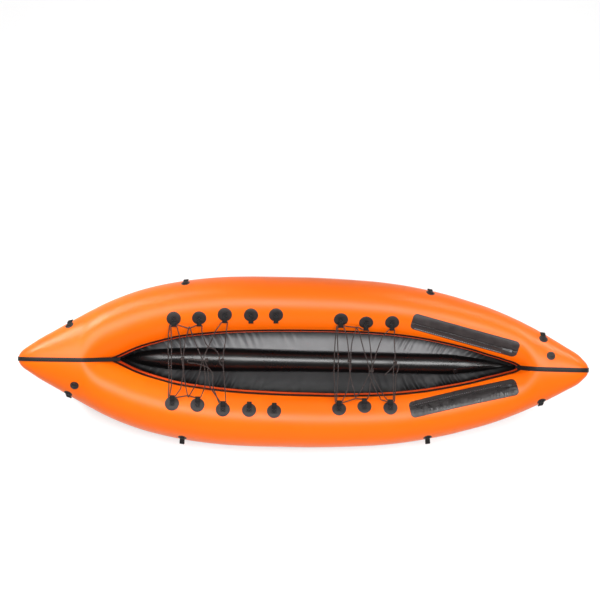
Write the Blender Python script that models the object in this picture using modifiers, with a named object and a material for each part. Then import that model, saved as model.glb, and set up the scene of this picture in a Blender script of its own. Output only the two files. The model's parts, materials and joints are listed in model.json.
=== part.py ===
"""A packraft: a small inflatable boat, pointed at both ends, in metres with +Z up.

+X runs aft along the boat, +Y is its port side, and the origin is on the ground under its middle.
Two side tubes press together at both ends. A floor sheet closes the hull, and a floor tube lies on it.
Round lacing patches carry webbing loops, and a thin cord is laced through them across the cockpit.
Both chambers have a screw-capped valve, and each stern quarter has a cargo zip with a slider.
"""

import math

import bmesh
import bpy
import numpy as np
from mathutils import Matrix, Vector

# Overall hull
LENGTH = 2.93
BEAM = 0.90
TUBE_RADIUS = 0.1455
TIP_RISE = 0.20
RISE_LENGTH = 0.85
TUBE_WALL = 0.0009
CENTRE_GAP = 0.0003
FIT_GAP = 0.0003
LAY_GAP = 0.0006

# Floor
FLOOR_THICKNESS = 0.0015
FLOOR_MARGIN = 0.020
FLOOR_TUBE_WIDTH = 0.126
FLOOR_TUBE_HEIGHT = 0.100

# Tapes
TAPE_THICKNESS = 0.0012
RIM_TAPE_WIDTH = 0.0175
RIM_TAPE_CORNER = 0.009
SEAM_TAPE_WIDTH = 0.020

# Lacing patches and the webbing loops on them
PATCH_DIAMETER = 0.074
PATCH_THICKNESS = 0.0016
WEBBING_WIDTH = 0.025
WEBBING_THICKNESS = 0.0018
LOOP_BASE = 0.026
LOOP_TONGUE = 0.0295
LOOP_NECK = 0.008
LOOP_EYE_HEIGHT = 0.0070
LOOP_LIFT = math.radians(12)

# Tie-down patches on the outer sides
TIE_DIAMETER = 0.046
TIE_SINK = 0.0008
TIE_LIFT = math.radians(30)
TIE_FLAT_HEIGHT = 0.0030

# Chamber valves
VALVE_DIAMETER = 0.044
VALVE_FLANGE = 0.0024
VALVE_COLLAR_DIAMETER = 0.034
VALVE_COLLAR_HEIGHT = 0.0075
VALVE_NECK_DIAMETER = 0.028
VALVE_NECK_DEPTH = 0.016
VALVE_BORE = 0.021
CAP_DIAMETER = 0.032
CAP_HEIGHT = 0.0045
CAP_PLUG_DEPTH = 0.0065
CAP_GRIP_WIDTH = 0.0045
CAP_GRIP_HEIGHT = 0.0030
RUNNING_GAP = 0.0004

# Floor tube valve
FLOOR_VALVE_FLANGE = 0.026
FLOOR_VALVE_NECK = 0.015
FLOOR_VALVE_RISE = 0.0035
FLOOR_VALVE_DEPTH = 0.012

# Cargo zips
ZIP_PATCH_WIDTH = 0.084
ZIP_FORE_CLEARANCE = 0.037
ZIP_AFT_CLEARANCE = 0.030
ZIP_PATCH_THICKNESS = 0.0014
ZIP_CORNER = 0.022
ZIP_RIDGE_WIDTH = 0.0080
ZIP_RIDGE_HEIGHT = 0.0042
ZIP_END_MARGIN = 0.040
SLIDER_GAP = 0.0007
SLIDER_LENGTH = 0.024
SLIDER_WIDTH = 0.0130
SLIDER_TOP = 0.0024
SLIDER_SKIRT = 0.0016
LUG_LENGTH = 0.0066
LUG_HEIGHT = 0.0054
LUG_THICKNESS = 0.0030
LUG_HOLE = 0.0036
PULL_LENGTH = 0.040
PULL_WIDTH = 0.011
PULL_THICKNESS = 0.0020
PULL_BAR = 0.0020
PULL_DROP = math.radians(3)
PULL_EYE_WIDTH = 0.0070
PULL_EYE_LENGTH = 0.0050

# Lacing cord
CORD_DIAMETER = 0.0045
CORD_LANE = 0.0055
CORD_PASS_OVERHANG = 0.0025
MM = 0.001

# How finely round things are divided
TUBE_SIDES = 20
FLOOR_TUBE_SIDES = 12
PATCH_SIDES = 14
VALVE_SIDES = 24
ARC_STEPS = 3
CREASE_STEPS = 60
CUT_OVERRUN = 0.010
MERGE_DISTANCE = 0.00001

# Lines of the hull, bow to stern. Each row holds shares: the place along the half length, the half
# width of the half beam, the tube axis of its place amidships, the tube's height of its radius, and
# the height of its centre of that radius.
HULL_SHARES = (
    (-0.9947, 0.053, 0.000, 0.150, 1.00),
    (-0.982, 0.106, 0.000, 0.290, 1.00),
    (-0.9686, 0.139, 0.000, 0.390, 1.00),
    (-0.930, 0.230, 0.000, 0.580, 1.00),
    (-0.8833, 0.324, 0.000, 0.740, 1.00),
    (-0.8366, 0.418, 0.000, 0.880, 1.00),
    (-0.7860, 0.5165, 0.000, 0.980, 1.00),
    (-0.7762, 0.536, 0.184, 1.000, 1.00),
    (-0.7544, 0.576, 0.291, 1.000, 1.00),
    (-0.7158, 0.645, 0.423, 1.000, 1.00),
    (-0.6584, 0.7313, 0.5593, 1.000, 1.00),
    (-0.5940, 0.8096, 0.6902, 1.000, 1.00),
    (-0.5259, 0.8724, 0.7890, 1.000, 1.00),
    (-0.4447, 0.9260, 0.8775, 1.000, 1.00),
    (-0.3554, 0.9665, 0.9355, 1.000, 1.00),
    (-0.2589, 0.9910, 0.9757, 1.000, 1.00),
    (-0.1411, 1.0000, 0.9959, 0.995, 0.995),
    (0.000, 1.0000, 1.0028, 0.980, 0.980),
    (0.0768, 0.9950, 1.0012, 0.955, 0.955),
    (0.1909, 0.9790, 0.9842, 0.930, 0.930),
    (0.2731, 0.9610, 0.9632, 0.905, 0.905),
    (0.3442, 0.9350, 0.9314, 0.885, 0.885),
    (0.4300, 0.8890, 0.8722, 0.860, 0.860),
    (0.5158, 0.8300, 0.7906, 0.840, 0.840),
    (0.6011, 0.7513, 0.6865, 0.825, 0.825),
    (0.6584, 0.6916, 0.6021, 0.815, 0.815),
    (0.7158, 0.6193, 0.5102, 0.805, 0.805),
    (0.7727, 0.5360, 0.3901, 0.790, 0.790),
    (0.8048, 0.4838, 0.2732, 0.785, 0.785),
    (0.8262, 0.4473, 0.1526, 0.780, 0.780),
    (0.8366, 0.4276, 0.000, 0.775, 0.780),
    (0.8833, 0.3390, 0.000, 0.650, 0.780),
    (0.9260, 0.2520, 0.000, 0.530, 0.780),
    (0.9686, 0.1600, 0.000, 0.370, 0.780),
    (0.982, 0.112, 0.000, 0.280, 0.780),
    (0.9947, 0.060, 0.000, 0.150, 0.780),
)

# Where the tapes and floor end, as shares of the half length from amidships
SEAM_START_SHARES = (-0.6887, 0.7811)
FLOOR_END_SHARES = (-0.7860, 0.8366)
FLOOR_TUBE_END_SHARES = (-0.6635, 0.7509)

# The floor tube's swell: shares of its length, and of its full width and height
FLOOR_TUBE_SHARES = (
    (0.0, 0.0),
    (0.0085, 0.18),
    (0.017, 0.29),
    (0.036, 0.48),
    (0.066, 0.70),
    (0.100, 0.84),
    (0.150, 0.94),
    (0.250, 1.00),
    (0.370, 0.94),
    (0.490, 0.88),
    (0.720, 0.87),
    (0.830, 0.87),
    (0.880, 0.76),
    (0.920, 0.57),
    (0.957, 0.35),
    (0.980, 0.19),
    (1.0, 0.0),
)

# Lacing patches: share of the half length, and degrees from the tube's crest towards the cockpit
LACING_SHARES = (
    (-0.4638, 16.5),
    (-0.3743, 22.5),
    (-0.2838, 19.5),
    (-0.1912, 22.5),
    (-0.1028, 22.5),
    (0.1276, 30.5),
    (0.2176, 35.0),
    (0.3102, 29.0),
)

# Tie-downs: name, share of the half length, degrees above the outer side and lift, port then starboard
TIE_SHARES = (
    ("bow", -0.8300, (25.0, 23.0), (-0.38, -0.38)),
    ("fore", -0.4302, (25.0, 26.5), (-0.38, 1.0)),
    ("aft", 0.4496, (25.0, 26.5), (-0.38, 1.0)),
    ("stern", 0.8444, (33.0, 23.0), (-0.38, -0.38)),
)

# Valves: side, share of the half length, and degrees above the outer side
BOW_VALVE_SHARES = (-1, -0.8015, 53.0)
STERN_VALVE_SHARES = (1, 0.8651, 65.5)
FLOOR_VALVE_PLACE_SHARES = (0.86, 50.0)

# Cargo zip: its two ends as shares of the half length, and its ridge and seat
ZIP_FORE_SHARE = 0.3804
ZIP_AFT_SHARE = 0.7547
ZIP_RIDGE_SHARE = 0.18
ZIP_DIP_SHARE = 0.052
ZIP_COLUMN_SHARES = (-1.0, -0.68, -0.36, -0.04)
ZIP_ROW_SHARES = (0.0, 0.008, 0.025, 0.1, 0.2, 0.3, 0.4, 0.5, 0.6, 0.7, 0.8, 0.9, 0.975, 0.992, 1.0)
ZIP_CORNER_SHARES = (1.0, 0.45, 0.0)

HALF_LENGTH = LENGTH / 2
HALF_BEAM = BEAM / 2
AXIS_OFFSET = HALF_BEAM - TUBE_RADIUS
DECK_LEVEL = FLOOR_THICKNESS + FIT_GAP

COLOURS = {
    "orange_tube": ((0.95, 0.18, 0.005), 0.42, 0.0),
    "black_floor": ((0.020, 0.020, 0.022), 0.45, 0.0),
    "black_tube": ((0.008, 0.007, 0.008), 0.30, 0.0),
    "black_tape": ((0.006, 0.006, 0.007), 0.50, 0.0),
    "black_patch": ((0.030, 0.031, 0.035), 0.48, 0.0),
    "black_webbing": ((0.018, 0.018, 0.019), 0.85, 0.0),
    "black_plastic": ((0.012, 0.012, 0.013), 0.38, 0.0),
    "black_zip": ((0.025, 0.026, 0.029), 0.40, 0.0),
    "slider_metal": ((0.30, 0.30, 0.31), 0.35, 1.0),
    "dark_cord": ((0.014, 0.012, 0.018), 0.80, 0.0),
}


# Scene, collections and materials

def empty_scene():
    for old in list(bpy.data.objects):
        bpy.data.objects.remove(old, do_unlink=True)


def new_collection(name):
    collection = bpy.data.collections.new(name)
    bpy.context.scene.collection.children.link(collection)
    return collection


def finish_material(name, kind):
    """A material of the node's own, in one of the boat's finishes."""
    colour, roughness, metallic = COLOURS[kind]
    material = bpy.data.materials.new(name)
    material.use_nodes = True
    shader = material.node_tree.nodes["Principled BSDF"]
    shader.inputs["Base Color"].default_value = (*colour, 1.0)
    shader.inputs["Roughness"].default_value = roughness
    shader.inputs["Metallic"].default_value = metallic
    return material


def add_part(name, data, kind, matrix=None):
    """A named piece of the boat, in its own material."""
    part = bpy.data.objects.new(name, data)
    PARTS.objects.link(part)
    data.materials.append(finish_material(name, kind))
    if matrix is not None:
        part.matrix_world = matrix
    part.parent = BOAT
    return part


def add_cutter(name, data, matrix=None):
    """A helper for a Boolean, which is no part of the boat."""
    cutter = bpy.data.objects.new(name, data)
    CUTTERS.objects.link(cutter)
    cutter.hide_render = True
    cutter.display_type = "WIRE"
    if matrix is not None:
        cutter.matrix_world = matrix
    return cutter


def solidify(part, thickness, offset):
    modifier = part.modifiers.new("Wall", "SOLIDIFY")
    modifier.thickness = thickness
    modifier.offset = offset
    modifier.use_even_offset = True


def boolean(part, other, operation):
    modifier = part.modifiers.new(operation.title(), "BOOLEAN")
    modifier.operation = operation
    modifier.solver = "EXACT"
    modifier.object = other


# Mesh helpers

def mesh_from(bm, name):
    bmesh.ops.recalc_face_normals(bm, faces=bm.faces)
    mesh = bpy.data.meshes.new(name)
    bm.to_mesh(mesh)
    bm.free()
    mesh.shade_smooth()
    mesh.set_sharp_from_angle(angle=math.radians(35))
    return mesh


def loft(bm, rings, closed=True):
    """Skins rings of as many points each, and returns their rows of corners."""
    rows = [[bm.verts.new(point) for point in ring] for ring in rings]
    count = len(rows[0])
    spans = count if closed else count - 1
    for near, far in zip(rows, rows[1:]):
        for i in range(spans):
            j = (i + 1) % count
            bm.faces.new((near[i], near[j], far[j], far[i]))
    return rows


def close_to_point(bm, row, point):
    tip = bm.verts.new(point)
    for i, corner in enumerate(row):
        bm.faces.new((corner, row[(i + 1) % len(row)], tip))


def mirrored(points, side):
    return [Vector((p[0], p[1] * side, p[2])) for p in points]


def frame_matrix(origin, x_axis, y_axis):
    """A matrix whose X and Y axes are the given ones, squared up."""
    x_axis = x_axis.normalized()
    z_axis = x_axis.cross(y_axis).normalized()
    y_axis = z_axis.cross(x_axis)
    matrix = Matrix((x_axis, y_axis, z_axis)).transposed().to_4x4()
    matrix.translation = origin
    return matrix


def axis_matrix(origin, z_axis, x_hint):
    """A matrix whose Z axis is the given one."""
    z_axis = z_axis.normalized()
    y_axis = z_axis.cross(x_hint).normalized()
    return frame_matrix(origin, y_axis.cross(z_axis), y_axis)


def arc(centre, radius, start, end, steps):
    return [
        (
            centre[0] + radius * math.cos(start + (end - start) * i / steps),
            centre[1] + radius * math.sin(start + (end - start) * i / steps),
        )
        for i in range(steps + 1)
    ]


def flat_curve(name, outlines, thickness):
    """Flat outlines, holes included, given their thickness."""
    curve = bpy.data.curves.new(name, "CURVE")
    curve.dimensions = "2D"
    curve.fill_mode = "BOTH"
    curve.extrude = thickness / 2
    for outline in outlines:
        spline = curve.splines.new("POLY")
        spline.points.add(len(outline) - 1)
        for point, place in zip(spline.points, outline):
            point.co = (place[0], place[1], 0, 1)
        spline.use_cyclic_u = True
    return curve


def mesh_of_curve(name, curve, matrix):
    """The curve as a closed mesh in its own place."""
    shell = bpy.data.objects.new(name, curve)
    bpy.context.scene.collection.objects.link(shell)
    bpy.context.view_layer.update()
    graph = bpy.context.evaluated_depsgraph_get()
    mesh = bpy.data.meshes.new_from_object(shell.evaluated_get(graph))
    bpy.data.objects.remove(shell, do_unlink=True)
    bm = bmesh.new()
    bm.from_mesh(mesh)
    bmesh.ops.remove_doubles(bm, verts=bm.verts, dist=MERGE_DISTANCE)
    bm.to_mesh(mesh)
    bm.free()
    return mesh


def turned(name, outline, kind, matrix, closed, steps=VALVE_SIDES):
    """A profile of radius and height pairs, turned about its Z axis."""
    mesh = bpy.data.meshes.new(name)
    edges = [(i, i + 1) for i in range(len(outline) - 1)]
    if closed:
        edges.append((len(outline) - 1, 0))
    mesh.from_pydata([(radius, 0, height) for radius, height in outline], edges, [])
    part = add_part(name, mesh, kind, matrix)
    screw = part.modifiers.new("Turn", "SCREW")
    screw.axis = "Z"
    screw.angle = 2 * math.pi
    screw.steps = steps
    screw.render_steps = steps
    screw.use_merge_vertices = True
    screw.merge_threshold = MERGE_DISTANCE
    screw.use_smooth_shade = True
    return part


# The hull's lines

def hull_at(x):
    """Half width, axis offset, height of the half section, and the height of its centre, at x."""
    places = [row[0] * HALF_LENGTH for row in HULL_SHARES]
    half_width, axis, tall, centre = (
        np.interp(x, places, [row[column] for row in HULL_SHARES]) for column in range(1, 5)
    )
    return (
        half_width * HALF_BEAM,
        axis * AXIS_OFFSET,
        tall * TUBE_RADIUS,
        DECK_LEVEL + centre * TUBE_RADIUS + tip_rise(x),
    )


def tip_rise(x):
    """How far the boat's ends turn up, from the nearest rows of the hull's lines."""
    places = [row[0] * HALF_LENGTH for row in HULL_SHARES]
    reach = [max(0.0, 1 - (HALF_LENGTH - abs(place)) / RISE_LENGTH) for place in places]
    return float(np.interp(x, places, [TIP_RISE * share**2 for share in reach]))


def tube_point(x, angle):
    """A point on the port tube's round skin. The angle is 0 outboard and a quarter turn on top."""
    half_width, axis, tall, centre = hull_at(x)
    flank = half_width - axis
    y = axis + flank * math.cos(angle)
    return Vector((x, max(y, CENTRE_GAP / 2), centre + tall * math.sin(angle)))


def tube_frame(x, angle):
    """The point, its outward normal, and the tangent round the tube, towards rising angles."""
    step = TUBE_WALL
    along = tube_point(x + step, angle) - tube_point(x - step, angle)
    around = tube_point(x, angle + step) - tube_point(x, angle - step)
    normal = around.cross(along).normalized()
    return tube_point(x, angle), normal, around.normalized()


def ring_points(x):
    turn = 2 * math.pi / TUBE_SIDES
    return [tube_point(x, turn * i) for i in range(TUBE_SIDES)]


def crease_height(x, half):
    """Height of the port tube's crease beside the middle plane, or None where the tube stays clear."""
    places = [row[0] * HALF_LENGTH for row in HULL_SHARES]
    after = next(i for i, place in enumerate(places) if place >= x - MERGE_DISTANCE)
    before = max(after - 1, 0)
    span = places[after] - places[before]
    share = (x - places[before]) / span if span else 0.0
    near, far = (ring_points(places[i])[: TUBE_SIDES // 2 + 1] for i in (before, after))
    heights = []
    for i in range(len(near) - 1):
        outer = near[i].lerp(far[i], share)
        inner = near[i + 1].lerp(far[i + 1], share)
        for bend in (near[i].lerp(far[i + 1], share), near[i + 1].lerp(far[i], share)):
            heights += clipped_heights(outer, bend, half)
            heights += clipped_heights(bend, inner, half)
    return max(heights, default=None)


def clipped_heights(outer, inner, half):
    """The heights of a line's ends, once it is cut off where it is more than a half width out."""
    if inner.y > half:
        return []
    if outer.y <= half or outer.y - inner.y < MERGE_DISTANCE:
        return [outer.z, inner.z]
    share = (half - inner.y) / (outer.y - inner.y)
    return [inner.z, inner.lerp(outer, share).z]


def taut(points):
    """The points that a tape touches when it is pulled taut over them."""
    kept = []
    for point in points:
        while len(kept) > 1 and sags(kept[-2], kept[-1], point):
            kept.pop()
        kept.append(point)
    return kept


def sags(before, middle, after):
    share = (middle.x - before.x) / (after.x - before.x)
    return middle.z <= before.z + (after.z - before.z) * share


def skin_point(x, y):
    """A point of the port tube's round upper skin above a place."""
    half_width, axis, _, _ = hull_at(x)
    cosine = (abs(y) - axis) / (half_width - axis)
    return tube_point(x, math.acos(max(-1.0, min(1.0, cosine))))


# Side tubes

def make_side_tube(side, valve_matrix):
    """One air chamber: a thin closed skin with a hole where its valve is welded in."""
    bm = bmesh.new()
    rings = [mirrored(ring_points(row[0] * HALF_LENGTH), side) for row in HULL_SHARES]
    rows = loft(bm, rings)
    for end, row in ((-1, rows[0]), (1, rows[-1])):
        x = end * HALF_LENGTH
        close_to_point(bm, row, (x, side * CENTRE_GAP / 2, hull_at(x)[3]))
    name = f"side_tube_{SIDE_NAMES[side]}"
    tube = add_part(name, mesh_from(bm, name), "orange_tube")
    solidify(tube, TUBE_WALL, -1)
    boolean(tube, valve_hole(f"{name}_valve_hole", VALVE_NECK_DIAMETER, valve_matrix), "DIFFERENCE")


def valve_hole(name, neck_diameter, matrix):
    bm = bmesh.new()
    radius = neck_diameter / 2 + RUNNING_GAP
    bmesh.ops.create_cone(
        bm, cap_ends=True, segments=VALVE_SIDES, radius1=radius, radius2=radius, depth=2 * CUT_OVERRUN
    )
    return add_cutter(name, mesh_from(bm, name), matrix)


# Floor

def make_floor_sheet():
    """The flat sheet under both tubes, which the boat rests on."""
    start, end = (share * HALF_LENGTH for share in FLOOR_END_SHARES)
    places = [row[0] * HALF_LENGTH for row in HULL_SHARES if start <= row[0] * HALF_LENGTH <= end]
    rings = []
    for x in places:
        _, axis, tall, centre = hull_at(x)
        half = axis + FLOOR_MARGIN
        height = centre - tall - DECK_LEVEL
        rings.append([(x, -half, height), (x, 0, height), (x, half, height)])
    bm = bmesh.new()
    loft(bm, rings, closed=False)
    for face in bm.faces:
        face.normal_update()
        if face.normal.z < 0:
            face.normal_flip()
    mesh = bpy.data.meshes.new("floor_sheet")
    bm.to_mesh(mesh)
    bm.free()
    sheet = add_part("floor_sheet", mesh, "black_floor")
    solidify(sheet, FLOOR_THICKNESS, 1)


def floor_tube_section(x):
    """The floor tube's half width, half height and centre height at x."""
    start, end = (share * HALF_LENGTH for share in FLOOR_TUBE_END_SHARES)
    places, swells = zip(*FLOOR_TUBE_SHARES)
    swell = float(np.interp((x - start) / (end - start), places, swells))
    half_width = swell * FLOOR_TUBE_WIDTH / 2
    half_height = swell * FLOOR_TUBE_HEIGHT / 2
    return half_width, half_height, DECK_LEVEL + tip_rise(x) + half_height


def make_floor_tube(valve_matrix):
    """The air chamber along the middle of the floor, pointed at both ends."""
    start, end = (share * HALF_LENGTH for share in FLOOR_TUBE_END_SHARES)
    rings = []
    for share, _ in FLOOR_TUBE_SHARES[1:-1]:
        x = start + (end - start) * share
        half_width, half_height, centre = floor_tube_section(x)
        turn = 2 * math.pi / FLOOR_TUBE_SIDES
        rings.append(
            [
                (x, half_width * math.cos(turn * i), centre + half_height * math.sin(turn * i))
                for i in range(FLOOR_TUBE_SIDES)
            ]
        )
    bm = bmesh.new()
    rows = loft(bm, rings)
    close_to_point(bm, rows[0], (start, 0, floor_tube_section(start)[2]))
    close_to_point(bm, rows[-1], (end, 0, floor_tube_section(end)[2]))
    tube = add_part("floor_tube", mesh_from(bm, "floor_tube"), "black_tube")
    solidify(tube, TUBE_WALL, -1)
    boolean(tube, valve_hole("floor_valve_hole", FLOOR_VALVE_NECK, valve_matrix), "DIFFERENCE")


# Tapes

def strip_ring(point, sideways, normal, width):
    """Four corners of a tape's cross section, its back on the point."""
    half = sideways.normalized() * (width / 2)
    lift = normal.normalized() * TAPE_THICKNESS
    return [point - half, point + half, point + half + lift, point - half + lift]


def rim_frame(x):
    """The middle of the rim tape's back on the tube's facet, the facet's normal and the way around."""
    facet = 2 * math.pi / TUBE_SIDES
    _, normal, _ = tube_frame(x, RIM_ANGLE - facet / 2)
    edge = tube_point(x, RIM_ANGLE)
    around = (edge - tube_point(x, RIM_ANGLE - facet)).normalized()
    return edge - around * (RIM_TAPE_WIDTH / 2), normal, around


def rim_corner(sign):
    """Where the rim tape leaves the tube near one end of the cockpit."""
    places = np.linspace(0, sign * HALF_LENGTH, 600)
    for x in places:
        if tube_point(float(x), RIM_ANGLE).y <= RIM_TAPE_CORNER:
            return float(x)
    raise ValueError("the side tubes never meet")


def make_rim_tape():
    """The tape round the cockpit: half a ring along the port tube, mirrored to starboard."""
    bow, stern = rim_corner(-1), rim_corner(1)
    inner = [row[0] * HALF_LENGTH for row in HULL_SHARES if bow < row[0] * HALF_LENGTH < stern]
    rings = []
    for x in [bow] + inner + [stern]:
        point, normal, around = rim_frame(x)
        rings.append(strip_ring(point + normal * LAY_GAP, around, normal, RIM_TAPE_WIDTH))
    for sign, x, place in ((-1, bow, 0), (1, stern, len(rings) + 2)):
        point, _, _ = rim_frame(x)
        inward = Vector((-sign, 0, 0))
        turn_x = x + sign * RIM_TAPE_CORNER * 0.45
        bend = Vector((turn_x, RIM_TAPE_CORNER * 0.42, point.z))
        middle = Vector((x + sign * RIM_TAPE_CORNER * 0.60, 0, point.z))
        slant = Vector((-sign, -1, 0))
        corner = [
            strip_ring(middle, Vector((0, 0, -1)), inward, RIM_TAPE_WIDTH),
            strip_ring(bend, Vector((0, 0, -1)), slant, RIM_TAPE_WIDTH),
        ]
        if sign > 0:
            corner.reverse()
        rings[place:place] = corner
    bm = bmesh.new()
    loft(bm, rings)
    tape = add_part("rim_tape", mesh_from(bm, "rim_tape"), "black_tape")
    mirror = tape.modifiers.new("Starboard", "MIRROR")
    mirror.use_axis = (False, True, False)
    mirror.merge_threshold = MERGE_DISTANCE


def make_seam_tape(name, start_share, end):
    """The tape over the crease between the tubes, on over the tip and a little way below it."""
    start = start_share * HALF_LENGTH
    rows = [row for row in HULL_SHARES if row[0] * end > start_share * end]
    if end < 0:
        rows.reverse()
    half = SEAM_TAPE_WIDTH / 2
    nose = [row[0] * HALF_LENGTH for row in rows if row[2] == 0]
    places = list(np.linspace(start, nose[0], CREASE_STEPS))
    places = [x for x in places if crease_height(x, half) is not None]
    line = taut([Vector((x, 0, crease_height(x, half) + LAY_GAP)) for x in places])
    line += [Vector((x, 0, crease_height(x, half) + LAY_GAP)) for x in nose[1:]]
    tip_height = hull_at(end * HALF_LENGTH)[3]
    line.append(Vector((end * (HALF_LENGTH + LAY_GAP), 0, tip_height)))
    for row in (rows[-1], rows[-2]):
        _, _, tall, centre = hull_at(row[0] * HALF_LENGTH)
        line.append(Vector((row[0] * HALF_LENGTH, 0, centre - tall - LAY_GAP)))
    rings = []
    across = Vector((0, 1, 0))
    for i, point in enumerate(line):
        along = line[min(i + 1, len(line) - 1)] - line[max(i - 1, 0)]
        normal = across.cross(along) * -end
        rings.append(strip_ring(point, across, normal, SEAM_TAPE_WIDTH))
    bm = bmesh.new()
    ends = loft(bm, rings)
    bm.faces.new(ends[0])
    bm.faces.new(ends[-1])
    add_part(name, mesh_from(bm, name), "black_tape")


# Patches and webbing loops

def patch_mesh(name, diameter, x, angle, side):
    """A disc that lies on the tube, a little clear of its skin."""
    centre, normal, around = tube_frame(x, angle)
    along = normal.cross(around).normalized()
    bm = bmesh.new()
    bmesh.ops.create_circle(
        bm, cap_ends=True, cap_tris=True, segments=PATCH_SIDES, radius=diameter / 4
    )
    inner = [edge for edge in bm.edges if edge.is_boundary]
    outer = bmesh.ops.create_circle(bm, cap_ends=False, segments=PATCH_SIDES, radius=diameter / 2)
    rim = {edge for corner in outer["verts"] for edge in corner.link_edges}
    bmesh.ops.bridge_loops(bm, edges=inner + list(rim))
    for corner in bm.verts:
        flat = centre + along * corner.co.x + around * corner.co.y
        corner.co = drop_to_skin(flat, normal)
    if side < 0:
        for corner in bm.verts:
            corner.co.y *= -1
    outward = Vector((normal.x, normal.y * side, normal.z))
    for face in bm.faces:
        face.normal_update()
        if face.normal.dot(outward) < 0:
            face.normal_flip()
    mesh = bpy.data.meshes.new(name)
    bm.to_mesh(mesh)
    bm.free()
    mesh.shade_smooth()
    mesh.set_sharp_from_angle(angle=math.radians(35))
    return mesh


def drop_to_skin(point, normal):
    """Moves a point along the normal until it lies just clear of the tube's skin."""
    low, high = -TUBE_RADIUS / 4, TUBE_RADIUS / 4
    for _ in range(30):
        middle = (low + high) / 2
        if inside_tube(point + normal * middle):
            low = middle
        else:
            high = middle
    return point + normal * (high + LAY_GAP)


def inside_tube(point):
    half_width, axis, tall, centre = hull_at(point.x)
    return ((point.y - axis) / (half_width - axis)) ** 2 + ((point.z - centre) / tall) ** 2 < 1


def loop_outlines(lift, eye_height):
    """Side view of a folded webbing loop: a sewn base, then a tongue with the eye in it."""
    base_top = 2 * WEBBING_THICKNESS
    eye = eye_height / 2
    round_end = eye + WEBBING_THICKNESS
    tip = LOOP_TONGUE - round_end
    quarter = math.pi / 2
    tongue = arc((tip, round_end), round_end, -quarter, quarter, 2 * ARC_STEPS)
    tongue.append((LOOP_NECK, 2 * round_end))
    outer = [(-LOOP_BASE / 2, 0), (LOOP_BASE / 2, 0)]
    outer += [lifted(place, lift) for place in tongue]
    outer += [(LOOP_BASE / 2 - base_top, base_top), (-LOOP_BASE / 2, base_top)]
    inner = LOOP_NECK + WEBBING_THICKNESS
    hole = arc((tip, round_end), eye, -quarter, quarter, 2 * ARC_STEPS)
    hole += arc((inner, round_end), eye, quarter, 3 * quarter, 2 * ARC_STEPS)
    return [outer, [lifted(place, lift) for place in hole]]


def lifted(place, lift):
    """A place on the tongue, in the loop's own frame."""
    cosine, sine = math.cos(lift), math.sin(lift)
    return (
        LOOP_BASE / 2 + place[0] * cosine - place[1] * sine,
        place[0] * sine + place[1] * cosine,
    )


def loop_frame(x, angle, side, towards_crest, height):
    """The frame of a loop on a patch: X along its tongue and Y away from the tube."""
    point, normal, around = tube_frame(x, angle)
    tongue = around * towards_crest
    seat = point + normal * height
    place, along, out = mirrored((seat, tongue, normal), side)
    return frame_matrix(place, along, out)


def lacing_frame(side, number):
    share, degrees = LACING_SHARES[number - 1]
    angle = math.radians(90 + degrees)
    seat = LAY_GAP + PATCH_THICKNESS + FIT_GAP
    return loop_frame(share * HALF_LENGTH, angle, side, 1, seat)


def make_lacing(side, number):
    """One round patch, and the webbing loop that carries the cord."""
    share, degrees = LACING_SHARES[number - 1]
    place = f"{SIDE_NAMES[side]}_{number}"
    name = f"lacing_patch_{place}"
    mesh = patch_mesh(name, PATCH_DIAMETER, share * HALF_LENGTH, math.radians(90 + degrees), side)
    patch = add_part(name, mesh, "black_patch")
    solidify(patch, PATCH_THICKNESS, 1)
    name = f"lacing_loop_{place}"
    curve = flat_curve(name, loop_outlines(LOOP_LIFT, LOOP_EYE_HEIGHT), WEBBING_WIDTH)
    add_part(name, curve, "black_webbing", lacing_frame(side, number))


def make_tie_down(side, place, share, degrees, lifts):
    """A small patch with its webbing loop sewn on, outside the tube: hanging free, or flat on it."""
    lift_share = lifts[0] if side > 0 else lifts[1]
    eye_height = LOOP_EYE_HEIGHT if lift_share > 0 else TIE_FLAT_HEIGHT
    x = share * HALF_LENGTH
    angle = math.radians(degrees[0] if side > 0 else degrees[1])
    name = f"tie_down_{SIDE_NAMES[side]}_{place}"
    patch = add_part(name, patch_mesh(name, TIE_DIAMETER, x, angle, side), "black_webbing")
    solidify(patch, PATCH_THICKNESS, 1)
    matrix = loop_frame(x, angle, side, -1, LAY_GAP + PATCH_THICKNESS - TIE_SINK)
    loop_name = f"{name}_loop"
    curve = flat_curve(loop_name, loop_outlines(TIE_LIFT * lift_share, eye_height), WEBBING_WIDTH)
    loop = add_cutter(loop_name, mesh_of_curve(loop_name, curve, matrix), matrix)
    boolean(patch, loop, "UNION")


# Valves

def valve_frame(shares):
    """The frame of a chamber valve: Z out of the tube, its origin on the skin."""
    side, share, degrees = shares
    point, normal, _ = tube_frame(share * HALF_LENGTH, math.radians(degrees))
    place, out = mirrored((point, normal), side)
    return axis_matrix(place, out, Vector((1, 0, 0)))


def make_valve(side, matrix):
    """The welded body with its neck through the wall, and the screw cap in its bore."""
    flange = VALVE_DIAMETER / 2
    collar = VALVE_COLLAR_DIAMETER / 2
    neck = VALVE_NECK_DIAMETER / 2
    bore = VALVE_BORE / 2
    flange_top = LAY_GAP + VALVE_FLANGE
    collar_top = LAY_GAP + VALVE_COLLAR_HEIGHT
    body = [
        (bore, collar_top),
        (collar, collar_top),
        (collar, flange_top),
        (flange, flange_top),
        (flange, LAY_GAP),
        (neck, LAY_GAP),
        (neck, -VALVE_NECK_DEPTH),
        (bore, -VALVE_NECK_DEPTH),
    ]
    turned(f"valve_body_{SIDE_NAMES[side]}", body, "black_plastic", matrix, True)
    make_cap(side, matrix @ Matrix.Translation((0, 0, collar_top + RUNNING_GAP)))


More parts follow.
